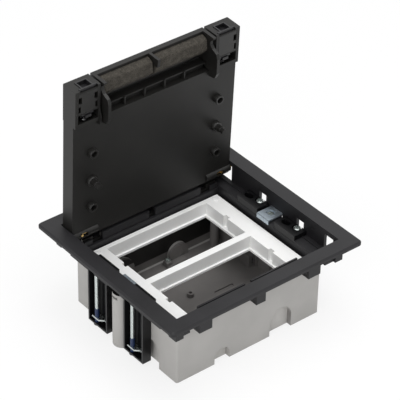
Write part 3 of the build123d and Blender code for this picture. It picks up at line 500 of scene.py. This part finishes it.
def brass_material(colour):
    """Turned brass: fine rings along X and a slight tarnish."""
    sizes = bpy.context.scene.floor_box_sizes

    def build(tree):
        rings = tree.node("ShaderNodeTexWave", {"bands_direction": "X"},
                          {"Vector": tree.place(), "Scale": 1.0 / sizes.ring, "Distortion": 0.6})
        tarnish = tree.noise(sizes.tarnish, detail=3.0)
        spots = tree.span(tarnish, *TARNISH_STEP)
        return {"Base Color": tree.blend(spots, colour, scaled(colour, TARNISH_TONE)),
                "Roughness": 0.28 + 0.15 * tarnish,
                "Normal": tree.bump(rings, sizes.metal_relief)}

    return shaded("brass", build, Metallic=1.0)


def foam_material(colour):
    """Open-celled foam: painted shade in the pores between pale cell walls."""
    sizes = bpy.context.scene.floor_box_sizes

    def build(tree):
        pores = tree.cells(sizes.foam_cell)
        small = tree.cells(sizes.foam_cell * SMALL_CELL)
        mottle = tree.span(tree.noise(sizes.foam_mottle, detail=4.0, roughness=0.6), *TONE_STEP)
        # Painted shade: the pores are darkened
        pore_shade = tree.span(pores, *PORE_STEP)
        wall = tree.blend(mottle, *(scaled(colour, level) for level in FOAM_TONES))
        return {"Base Color": tree.blend(pore_shade * PORE_SHADE_SHARE, wall, scaled(colour, PORE_SHADE_TONE)),
                "Roughness": 0.95 - 0.1 * pores,
                "Normal": tree.bump(pores * 0.7 + small * 0.3, sizes.foam_relief)}

    return shaded("foam", build, **MATT)


def repaint(node, material):
    """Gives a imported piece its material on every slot."""
    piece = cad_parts.get(node)
    if piece is None:
        raise RuntimeError(f"the frame has no piece named {node}")
    if not piece.material_slots:
        piece.data.materials.append(material)
    for slot in piece.material_slots:
        slot.material = material


# Surfaces worked out as arrays

MERGE_DISTANCE = 0.001 * MM
SHARP_ANGLE = math.radians(35)
RIDGE_SHARE = 0.42
FADE_TURNS = 0.5


def surface(name, points, closed_columns=False, closed_ends=False):
    """Mesh of quads over a grid of points, row by row.

    Closed columns join each row's end to its start, and closed ends fill the first and the last row.
    """
    rows, columns = points.shape[:2]
    index = np.arange(rows * columns).reshape(rows, columns)
    ends = [index[0, ::-1].tolist(), index[-1].tolist()] if closed_ends else []
    if closed_columns:
        index = np.hstack([index, index[:, :1]])
    corners = (index[:-1, :-1], index[:-1, 1:], index[1:, 1:], index[1:, :-1])
    quads = np.stack(corners, axis=-1).reshape(-1, 4)
    piece = new_piece(name, points.reshape(-1, 3), quads.tolist() + ends)
    piece.data.polygons.foreach_set("use_smooth", np.ones(len(quads) + len(ends), dtype=bool))
    return piece


def new_piece(name, points, faces):
    """Puts a mesh of these points and faces in the scene."""
    mesh = bpy.data.meshes.new(name)
    mesh.from_pydata(points.tolist(), [], faces)
    piece = bpy.data.objects.new(name, mesh)
    bpy.context.scene.collection.objects.link(piece)
    return piece


def close_seams(piece):
    """Merges doubled points and turns every face outwards."""
    shell = bmesh.new()
    shell.from_mesh(piece.data)
    bmesh.ops.remove_doubles(shell, verts=shell.verts, dist=MERGE_DISTANCE)
    bmesh.ops.recalc_face_normals(shell, faces=shell.faces)
    shell.to_mesh(piece.data)
    shell.free()


def lattice_solid(name, lines, filled):
    """Closed surface of a lattice's filled cells: a face stands wherever a filled cell meets an empty one.

    The lattice planes lie at the given x, y and z. Between two neighbouring cells along an axis, the face
    lies in the plane between them, and its corners are the cell's corners in that plane.
    """
    padded = np.pad(filled, 1)
    counts = [len(axis_lines) for axis_lines in lines]
    quads = []
    for axis in range(3):
        first, second = [other for other in range(3) if other != axis]
        lower = np.take(padded, np.arange(padded.shape[axis] - 1), axis)
        upper = np.take(padded, np.arange(1, padded.shape[axis]), axis)
        for cells in (np.argwhere(lower & ~upper), np.argwhere(upper & ~lower)):
            start = cells - 1
            start[:, axis] = cells[:, axis]
            corners = np.repeat(start[:, None, :], 4, axis=1)
            corners[:, (1, 2), first] += 1
            corners[:, (2, 3), second] += 1
            quads.append(np.ravel_multi_index(tuple(np.moveaxis(corners, -1, 0)), counts))
    used, faces = np.unique(np.concatenate(quads), return_inverse=True)
    index = np.unravel_index(used, counts)
    points = np.stack([np.asarray(axis_lines)[i] for axis_lines, i in zip(lines, index)], axis=-1)
    piece = new_piece(name, points, faces.reshape(-1, 4).tolist())
    close_seams(piece)
    return piece


def both_ways(*distances):
    """These distances and their negatives, in rising order."""
    values = np.array(distances)
    return np.unique(np.concatenate([-values, values]))


def middles(lines):
    """Middle of each cell between neighbouring lattice planes."""
    lines = np.asarray(lines)
    return (lines[1:] + lines[:-1]) / 2


def turned_piece(name, place, profile, steps=40):
    """Profile of radius and height turned round an axis: across is radius * cos, up is radius * sin.

    place(across, up, height) puts the points where they belong. The profile ends where it starts, or has
    both ends on the axis.
    """
    radius, height = (np.array(profile) * MM).T
    angle = np.linspace(0.0, 2 * math.pi, steps, endpoint=False)
    across = radius[:, None] * np.cos(angle)
    up = radius[:, None] * np.sin(angle)
    piece = surface(name, place(across, up, height[:, None]), closed_columns=True)
    close_seams(piece)
    piece.data.set_sharp_from_angle(angle=SHARP_ANGLE)
    return piece


def thread_points(centre, low, high, sizes):
    """Helical ridge: the angle grows steadily with height, and the radius runs root, crest, root.

    Along the helix, the height is low plus the pitch for each turn. Across it lie four points: half a ridge
    below at the root radius, level at the crest radius, half a ridge above at the root radius, and level
    inside the shank. The crest fades to the root at both ends.
    """
    turns = (high - low) / sizes.thread_pitch
    steps = int(turns * sizes.thread_steps)
    angle = np.linspace(0.0, turns * 2 * math.pi, steps)
    height = np.linspace(low, high, steps)
    half = RIDGE_SHARE * sizes.thread_pitch
    from_end = np.minimum(np.arange(steps), np.arange(steps)[::-1])
    fade = np.clip(from_end / (FADE_TURNS * sizes.thread_steps), 0.0, 1.0)
    crest = sizes.thread_root + (sizes.thread_crest - sizes.thread_root) * fade
    root = np.full(steps, sizes.thread_root)
    inner = root - sizes.thread_sink
    radii = np.stack([root, crest, root, inner], axis=1)
    rises = np.array([-half, 0.0, half, 0.0])[None, :]
    grid = np.empty((steps, 4, 3))
    grid[..., 0] = centre.x + radii * np.cos(angle)[:, None]
    grid[..., 1] = centre.y + radii * np.sin(angle)[:, None]
    grid[..., 2] = height[:, None] + rises
    return grid


def rounded_section(corners, radius, count=72):
    """Closed outline through these corners: evenly spaced points, smoothed until corners are round."""
    loop = np.vstack([corners, corners[:1]])
    lengths = np.hypot(*np.diff(loop, axis=0).T)
    along = np.concatenate([[0.0], np.cumsum(lengths)])
    even = np.linspace(0.0, along[-1], count, endpoint=False)
    outline = np.stack([np.interp(even, along, loop[:, i]) for i in (0, 1)], axis=1)
    spacing = along[-1] / count
    reach = max(1, int(round(radius / spacing)))
    offsets = range(-reach, reach + 1)
    return np.mean([np.roll(outline, offset, axis=0) for offset in offsets], axis=0)


def smooth_noise(shape, blur, seed):
    """Seeded random field, blurred by repeated neighbour averages, with unit spread."""
    field = np.random.default_rng(seed).normal(size=shape)
    for _ in range(blur):
        for axis in (0, 1):
            field = (np.roll(field, 1, axis) + 2 * field + np.roll(field, -1, axis)) / 4
    return (field - field.mean()) / field.std()


# The lid's own frame: x along the hinge, s up the lid, t inward from its outer face

LID_LEAN = math.radians(2.4)
LID_BACK = 78.6 * MM
FLANGE_TOP = 80.4 * MM

# Radius and height of turned pieces, in millimetres; a boss's height counts from the lid's outer face
BUTTON_PROFILE = ((0.0, -1.2), (2.6, -1.2), (2.6, -0.25), (2.5, -0.08), (2.3, 0.0), (0.0, 0.0))
BOSS_PROFILE = ((3.82, 14.15), (4.15, 14.15), (4.15, 18.8), (4.05, 18.95), (3.1, 18.95), (3.0, 18.85),
                (3.0, 18.72), (3.82, 18.72), (3.82, 14.15))
POST_PROFILE = ((3.42, 14.15), (4.9, 14.15), (4.9, 16.6), (4.3, 17.9), (3.1, 18.0), (3.1, 22.9),
                (2.9, 23.1), (2.42, 23.1), (2.42, 17.85), (3.42, 17.85), (3.42, 14.15))

# Name, place up the lid in millimetres, and profile of each side's bosses
LID_BOSSES = (("low", 21.0, BOSS_PROFILE), ("post", 48.0, POST_PROFILE), ("high", 77.0, BOSS_PROFILE))

# Foam: its section as (s, t) in millimetres, the rows along a strip, and how far ends and cells sink
FOAM_SECTION = ((142.0, 2.7), (142.0, 6.4), (140.0, 11.2), (129.7, 12.5), (123.2, 6.6), (122.2, 2.7))
FOAM_ROWS = 150
FOAM_SEEDS = {"right": 40, "left": 47}
END_TAPER = 0.06
FOAM_SAG = 0.012
SAG_BLUR, PIT_BLUR = 14, 1
PIT_DEPTH = 0.06 * MM
PIT_SPREAD = 0.05 * MM

# Back rail in millimetres: from the middle outwards, front to back, and from its foot to its top
RAIL_SPANS = ((5.05, 51.7), (65.1, 74.0))
RAIL_DEPTHS = (70.05, 79.15)
RAIL_HEIGHTS = (58.0, 58.8)


def on_lid(x, s, t):
    """Points of the lid's own frame in the shared frame, as one array."""
    x, s, t = np.broadcast_arrays(x, s, t)
    y = LID_BACK - t * math.cos(LID_LEAN) - s * math.sin(LID_LEAN)
    z = FLANGE_TOP + s * math.cos(LID_LEAN) - t * math.sin(LID_LEAN)
    return np.stack([x, y, z], axis=-1)


def foam_strip(name, x0, x1, sizes, seed):
    """Foam bar: a rounded section carried along x, with sunken cells and ends that draw in.

    Near an end the section shrinks as a quarter circle does. Along the bar it sags by a smooth noise, and
    each point then sinks by a finer noise.
    """
    outline = rounded_section(np.array(FOAM_SECTION) * MM, sizes.foam_round)
    middle = outline.mean(axis=0)
    outward = outline - middle
    along = np.linspace(0.0, 1.0, FOAM_ROWS)
    from_end = np.minimum(along, 1.0 - along) * (x1 - x0)
    end = np.clip(from_end / sizes.foam_end, 0.0, 1.0)
    swell = 1.0 - END_TAPER * (1.0 - np.sqrt(1.0 - (1.0 - end) ** 2))
    sag = 1.0 - FOAM_SAG * smooth_noise((FOAM_ROWS, 1), SAG_BLUR, seed)
    pits = smooth_noise((FOAM_ROWS, len(outline)), PIT_BLUR, seed + 1) * PIT_SPREAD - PIT_DEPTH
    direction = outward / np.linalg.norm(outward, axis=1, keepdims=True)
    section = middle + outward[None, :, :] * (swell[:, None] * np.minimum(sag, 1.0))[:, :, None]
    section = section + direction[None, :, :] * pits[:, :, None]
    x = (x0 + (x1 - x0) * along)[:, None]
    return surface(name, on_lid(x, section[..., 0], section[..., 1]), closed_columns=True, closed_ends=True)


def finish_piece(piece, material, body):
    """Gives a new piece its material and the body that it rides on."""
    piece.data.materials.append(material)
    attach(piece, body)


# Operators, one for each piece or group of like pieces

class FLOORBOX_OT_bezel(bpy.types.Operator):
    """Finish the flange, collar and lining"""

    bl_idname = "floor_box.bezel"
    bl_label = "Bezel frame"

    def execute(self, context):
        colours = context.scene.floor_box_colours
        repaint("bezel_frame", moulding("bezel_grey", colours.bezel, rough=0.5, grain_depth=0.014, **SATIN))
        return {"FINISHED"}


class FLOORBOX_OT_box(bpy.types.Operator):
    """Finish the grey mounting box and the cable clamp on its floor"""

    bl_idname = "floor_box.box"
    bl_label = "Back box"

    def execute(self, context):
        colours = context.scene.floor_box_colours
        repaint("back_box", box_material(colours))
        # The clamp takes the inside colour, so it carries the same painted shade
        repaint("cable_clamp", moulding("clamp_grey", colours.inside, rough=0.45, patina=0.1))
        repaint("cable_clamp_screw", plated("clamp_zinc", colours.zinc))
        return {"FINISHED"}


class FLOORBOX_OT_carrier(bpy.types.Operator):
    """Make the white module carrier with its deep wells and its buttons"""

    bl_idname = "floor_box.carrier"
    bl_label = "Module carrier"

    def execute(self, context):
        colours = context.scene.floor_box_colours
        sizes = context.scene.floor_box_sizes
        white = moulding("carrier_white", colours.carrier, rough=0.38, grain_depth=0.004, highlight_lift=0.02,
                         patina=0.015, **MILKY)
        low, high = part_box("module_carrier")
        wells = self.well_frame(sizes, low, high)
        finish_piece(wells, white, "frame")
        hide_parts("module_carrier")
        middle = (low.y + high.y) / 2
        for number, (side, end) in enumerate(((1, 1), (1, -1), (-1, -1), (-1, 1)), start=1):
            centre = Vector((side * sizes.button_across, middle + end * sizes.button_along, high.z))
            button = turned_piece(f"carrier_button_{number}", self.upright(centre), BUTTON_PROFILE)
            finish_piece(button, white, "frame")
        return {"FINISHED"}

    def upright(self, centre):
        """Places points round an upright axis through this centre."""
        def place(across, up, height):
            across, up, height = np.broadcast_arrays(across, up, height)
            return np.stack([centre.x + across, centre.y + up, centre.z + height], axis=-1)
        return place

    def well_frame(self, sizes, low, high):
        """Plate with two deep wells: walls, a narrow ledge at their foot, and a groove in each end wall.

        A cell is filled where it lies in the plate or within a wall's thickness round a well or a groove,
        and isn't in the well, in the opening inside the ledge or in a groove.
        """
        half_x, half_y = (high.x - low.x) / 2, (high.y - low.y) / 2
        length, width, ledge = sizes.well_half_length, sizes.well_half_width, sizes.well_ledge
        groove, groove_half = length + sizes.groove_depth, sizes.groove_half_width
        offset, wall, skin = sizes.well_offset, sizes.well_wall, sizes.groove_wall
        x_lines = both_ways(length - ledge, length, length + wall, groove, groove + skin, half_x)
        spread = both_ways(width - ledge, width, width + wall, groove_half, groove_half + skin)
        y_lines = np.unique(np.concatenate([-offset + spread, offset + spread, [-half_y, half_y]]))
        depths = np.array([0.0, sizes.plate, sizes.well_depth, sizes.well_depth + sizes.well_edge])

        x = np.abs(middles(x_lines))[:, None, None]
        y = np.abs(middles(y_lines))[None, :, None]
        depth = middles(depths)[None, None, :]
        off = np.abs(y - offset)
        above_ledge = depth < sizes.well_depth
        plate = (depth < sizes.plate) & (x < half_x) & (y < half_y)
        walls = (x < length + wall) & (off < width + wall)
        pocket = (x < groove + skin) & (off < groove_half + skin)
        hollow = (x < length) & (off < width) & above_ledge
        slit = (x < groove) & (off < groove_half) & above_ledge
        opening = (x < length - ledge) & (off < width - ledge)
        filled = (plate | walls | pocket) & ~(hollow | opening | slit)

        lines = (x_lines, (low.y + high.y) / 2 + y_lines, high.z - sizes.button_rise - depths)
        piece = lattice_solid("carrier_frame", lines, filled)
        rounding = piece.modifiers.new("rounding", "BEVEL")
        rounding.width = sizes.plate_round
        rounding.segments = 2
        rounding.limit_method = "ANGLE"
        return piece


class FLOORBOX_OT_towers(bpy.types.Operator):
    """Finish the four claw towers"""

    bl_idname = "floor_box.towers"
    bl_label = "Claw towers"

    def execute(self, context):
        colours = context.scene.floor_box_colours
        # The towers' paler edges are a painted highlight
        black = moulding("tower_black", colours.tower, rough=0.32, grain_depth=0.003, highlight_lift=0.8, **DIM)
        for corner in CORNERS:
            repaint(f"claw_tower_{corner}", black)
        return {"FINISHED"}


class FLOORBOX_OT_claws(bpy.types.Operator):
    """Finish the claw screws and claws, and cut the screws' threads"""

    bl_idname = "floor_box.claws"
    bl_label = "Claws and screws"

    def execute(self, context):
        colours = context.scene.floor_box_colours
        sizes = context.scene.floor_box_sizes
        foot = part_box("claw_screw_right_back")[0].z
        zinc = plated("screw_zinc", colours.zinc, rough=0.28, patch_top=foot + sizes.patch_length,
                      patch_colour=colours.patch)
        plate = plated("claw_zinc", colours.zinc, rough=0.22)
        for corner in CORNERS:
            repaint(f"claw_screw_{corner}", zinc)
            repaint(f"claw_plate_{corner}", plate)
            low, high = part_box(f"claw_screw_{corner}")
            points = thread_points((low + high) / 2, low.z + sizes.thread_foot, high.z - sizes.thread_head,
                                   sizes)
            thread = surface(f"claw_thread_{corner}", points, closed_columns=True, closed_ends=True)
            close_seams(thread)
            finish_piece(thread, zinc, f"screw_{corner}")
        return {"FINISHED"}


class FLOORBOX_OT_clips(bpy.types.Operator):
    """Finish the clamp clips, their screws and their nuts"""

    bl_idname = "floor_box.clips"
    bl_label = "Clamp clips"

    def execute(self, context):
        colours = context.scene.floor_box_colours
        repaint("clip_screws", plated("clip_screw_zinc", colours.zinc, rough=0.3))
        repaint("clip_nuts", plated("clip_nut_zinc", colours.zinc, rough=0.35))
        sheet = plated("clip_zinc", colours.clip, rough=0.36)
        for side in SIDES:
            repaint(f"clamp_clip_{side}", sheet)
        return {"FINISHED"}


class FLOORBOX_OT_lid(bpy.types.Operator):
    """Finish the lid and its stiffener"""

    bl_idname = "floor_box.lid"
    bl_label = "Lid"

    def execute(self, context):
        colours = context.scene.floor_box_colours
        repaint("lid_tray", moulding("lid_black", colours.lid, rough=0.46, grain_depth=0.010, **SATIN))
        repaint("lid_stiffener", plated("stiffener_zinc", colours.zinc, rough=0.45))
        return {"FINISHED"}


class FLOORBOX_OT_flap(bpy.types.Operator):
    """Finish the cable flap and lay in its two lengths of foam"""

    bl_idname = "floor_box.flap"
    bl_label = "Cable flap and foam"

    def execute(self, context):
        colours = context.scene.floor_box_colours
        sizes = context.scene.floor_box_sizes
        repaint("cable_flap", moulding("flap_black", colours.lid, rough=0.42, grain_depth=0.008, highlight_lift=0.5,
                                       **SATIN))
        foam = foam_material(colours.foam)
        for side in SIDES:
            node = f"foam_strip_{side}"
            low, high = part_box(node)
            strip = foam_strip(f"foam_{side}", low.x, high.x, sizes, FOAM_SEEDS[side])
            finish_piece(strip, foam, "flap")
            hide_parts(node)
        return {"FINISHED"}


class FLOORBOX_OT_latches(bpy.types.Operator):
    """Finish the latch covers, bolts and springs"""

    bl_idname = "floor_box.latches"
    bl_label = "Latches"

    def execute(self, context):
        colours = context.scene.floor_box_colours
        cover = moulding("cover_black", colours.lid, rough=0.4, grain_depth=0.006, highlight_lift=0.5)
        bolt = moulding("bolt_black", colours.bezel, rough=0.36, grain_depth=0.004, highlight_lift=0.6)
        wire = plated("latch_wire", colours.spring, rough=0.3)
        for side in SIDES:
            repaint(f"latch_cover_{side}", cover)
            repaint(f"latch_bolt_{side}", bolt)
            repaint(f"latch_spring_{side}", wire)
        return {"FINISHED"}


class FLOORBOX_OT_pins(bpy.types.Operator):
    """Finish the hinge pins and their springs"""

    bl_idname = "floor_box.pins"
    bl_label = "Hinge pins"

    def execute(self, context):
        colours = context.scene.floor_box_colours
        brass = brass_material(colours.brass)
        wire = plated("hinge_wire", colours.spring, rough=0.3)
        for side in SIDES:
            repaint(f"hinge_pin_{side}", brass)
            repaint(f"hinge_spring_{side}", wire)
        return {"FINISHED"}


class FLOORBOX_OT_rail(bpy.types.Operator):
    """Close the gap behind the box's back wall with the lining's rail"""

    bl_idname = "floor_box.rail"
    bl_label = "Back rail"

    def execute(self, context):
        grey = bpy.data.materials.get("bezel_grey")
        if grey is None:
            raise RuntimeError("the rail needs the bezel frame's material")
        spans = np.array(RAIL_SPANS) * MM
        x_lines = both_ways(*spans.ravel())
        x = np.abs(middles(x_lines))[:, None]
        filled = ((x > spans[:, 0]) & (x < spans[:, 1])).any(axis=1)
        lines = (x_lines, np.array(RAIL_DEPTHS) * MM, np.array(RAIL_HEIGHTS) * MM)
        rail = lattice_solid("back_rail", lines, filled[:, None, None])
        finish_piece(rail, grey, "frame")
        return {"FINISHED"}


class FLOORBOX_OT_bosses(bpy.types.Operator):
    """Set collars round the lid's four bosses and two posts"""

    bl_idname = "floor_box.bosses"
    bl_label = "Lid bosses"

    def execute(self, context):
        colours = context.scene.floor_box_colours
        across = context.scene.floor_box_sizes.boss_across
        # A strong painted highlight makes the collars' edges pale
        glossy = moulding("boss_black", colours.lid, rough=0.3, grain_depth=0.004, highlight_lift=1.2)
        for side, x in zip(SIDES, (across, -across)):
            for name, s, profile in LID_BOSSES:
                collar = turned_piece(f"boss_{name}_{side}", self.on_face(x, s * MM), profile)
                finish_piece(collar, glossy, "lid")
        return {"FINISHED"}

    def on_face(self, x, s):
        """Places points round an axis that stands on the lid's inner face."""
        return lambda across, up, height: on_lid(x + across, s + up, height)


class FLOORBOX_OT_stage(bpy.types.Operator):
    """Set up the camera, the floor, the surroundings and the lamps"""

    bl_idname = "floor_box.stage"
    bl_label = "Studio"

    def execute(self, context):
        studio = context.scene.floor_box_studio
        self.add_camera(context.scene, studio)
        self.add_floor(studio)
        self.light_surroundings(context.scene, studio)
        self.add_lamp("key_lamp", KEY_PLACE, KEY_SIZE, studio.key, studio)
        self.add_lamp("top_lamp", TOP_PLACE, TOP_SIZE, studio.top, studio)
        context.scene.view_settings.view_transform = "Standard"
        return {"FINISHED"}

    def add_camera(self, scene, studio):
        """Camera at an azimuth, elevation and distance from its aim, turned by its roll."""
        data = bpy.data.cameras.new("camera")
        data.lens = studio.lens
        camera = bpy.data.objects.new("camera", data)
        scene.collection.objects.link(camera)
        turn = Matrix.Rotation(studio.azimuth, 4, "Z")
        rise = Matrix.Rotation(math.pi / 2 - studio.elevation, 4, "X")
        roll = Matrix.Rotation(studio.roll, 4, "Z")
        back = Matrix.Translation((0.0, 0.0, studio.distance))
        camera.matrix_world = Matrix.Translation(studio.aim) @ turn @ rise @ roll @ back
        scene.camera = camera

    def add_floor(self, studio):
        """Flat square floor under the box, far larger than the view."""
        side = np.linspace(-FLOOR_REACH, FLOOR_REACH, FLOOR_LINES)
        x, y = np.meshgrid(side, side)
        floor = surface("floor", np.stack([x, y, np.full_like(x, FLOOR_HEIGHT)], axis=-1))
        material = bpy.data.materials.new("floor_pale")
        tree = Tree(material)
        seen = self.seen(tree)
        matt = tree.node("ShaderNodeBsdfDiffuse", inputs={"Color": as_colour(studio.floor)})
        glow = tree.node("ShaderNodeEmission", inputs={"Color": WHITE})
        both = tree.node("ShaderNodeMixShader", inputs={0: seen * studio.whitening, 1: matt, 2: glow})
        tree.node("ShaderNodeOutputMaterial", inputs={"Surface": both})
        floor.data.materials.append(material)

    def seen(self, tree):
        """1 for rays from the camera and for mirrored or refracted rays, 0 for diffuse light."""
        camera = tree.node("ShaderNodeLightPath", output="Is Camera Ray")
        glossy = tree.node("ShaderNodeLightPath", output="Is Glossy Ray")
        passed = tree.node("ShaderNodeLightPath", output="Is Transmission Ray")
        return tree.math("MINIMUM", camera + glossy + passed, 1.0)

    def light_surroundings(self, scene, studio):
        """White all round to the eye and to mirrored rays, softer to diffuse light."""
        world = bpy.data.worlds.new("surroundings")
        scene.world = world
        tree = Tree(world)
        soft = tree.node("ShaderNodeBackground", inputs={"Color": WHITE, "Strength": studio.world})
        white = tree.node("ShaderNodeBackground", inputs={"Color": WHITE})
        sky = tree.node("ShaderNodeMixShader", inputs={0: self.seen(tree), 1: soft, 2: white})
        tree.node("ShaderNodeOutputWorld", inputs={"Surface": sky})

    def add_lamp(self, name, place, size, power, studio):
        """Square area lamp that looks at the box."""
        data = bpy.data.lights.new(name, "AREA")
        data.size = size
        data.energy = power
        lamp = bpy.data.objects.new(name, data)
        bpy.context.scene.collection.objects.link(lamp)
        lamp.location = place
        lamp.rotation_euler = (Vector(studio.aim) - place).to_track_quat("-Z", "Y").to_euler()


OPERATORS = (
    FLOORBOX_OT_stage, FLOORBOX_OT_bezel, FLOORBOX_OT_box, FLOORBOX_OT_carrier, FLOORBOX_OT_towers,
    FLOORBOX_OT_claws, FLOORBOX_OT_clips, FLOORBOX_OT_lid, FLOORBOX_OT_flap, FLOORBOX_OT_latches,
    FLOORBOX_OT_pins, FLOORBOX_OT_rail, FLOORBOX_OT_bosses,
)
GROUPS = {
    "floor_box_colours": FloorBoxColours,
    "floor_box_sizes": FloorBoxSizes,
    "floor_box_studio": FloorBoxStudio,
}


class FLOORBOX_PT_panel(bpy.types.Panel):
    """Buttons and values of the floor socket box"""

    bl_label = "Floor socket box"
    bl_space_type = "VIEW_3D"
    bl_region_type = "UI"
    bl_category = "Floor box"

    def draw(self, context):
        for operator in OPERATORS:
            self.layout.operator(operator.bl_idname)
        for name in GROUPS:
            group = getattr(context.scene, name)
            section = self.layout.box()
            for key in group.__annotations__:
                section.prop(group, key)


def register():
    """Registers the classes and hangs the property groups on the scene."""
    for group in GROUPS.values():
        bpy.utils.register_class(group)
    for name, group in GROUPS.items():
        setattr(bpy.types.Scene, name, PointerProperty(type=group))
    for operator in OPERATORS:
        bpy.utils.register_class(operator)
    bpy.utils.register_class(FLOORBOX_PT_panel)


def unregister():
    """Takes the classes and the property groups away again."""
    bpy.utils.unregister_class(FLOORBOX_PT_panel)
    for operator in reversed(OPERATORS):
        bpy.utils.unregister_class(operator)
    for name, group in GROUPS.items():
        delattr(bpy.types.Scene, name)
        bpy.utils.unregister_class(group)


def main():
    """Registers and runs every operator."""
    register()
    for operator in OPERATORS:
        family, call = operator.bl_idname.split(".")
        getattr(getattr(bpy.ops, family), call)()


if __name__ == "__main__":
    main()
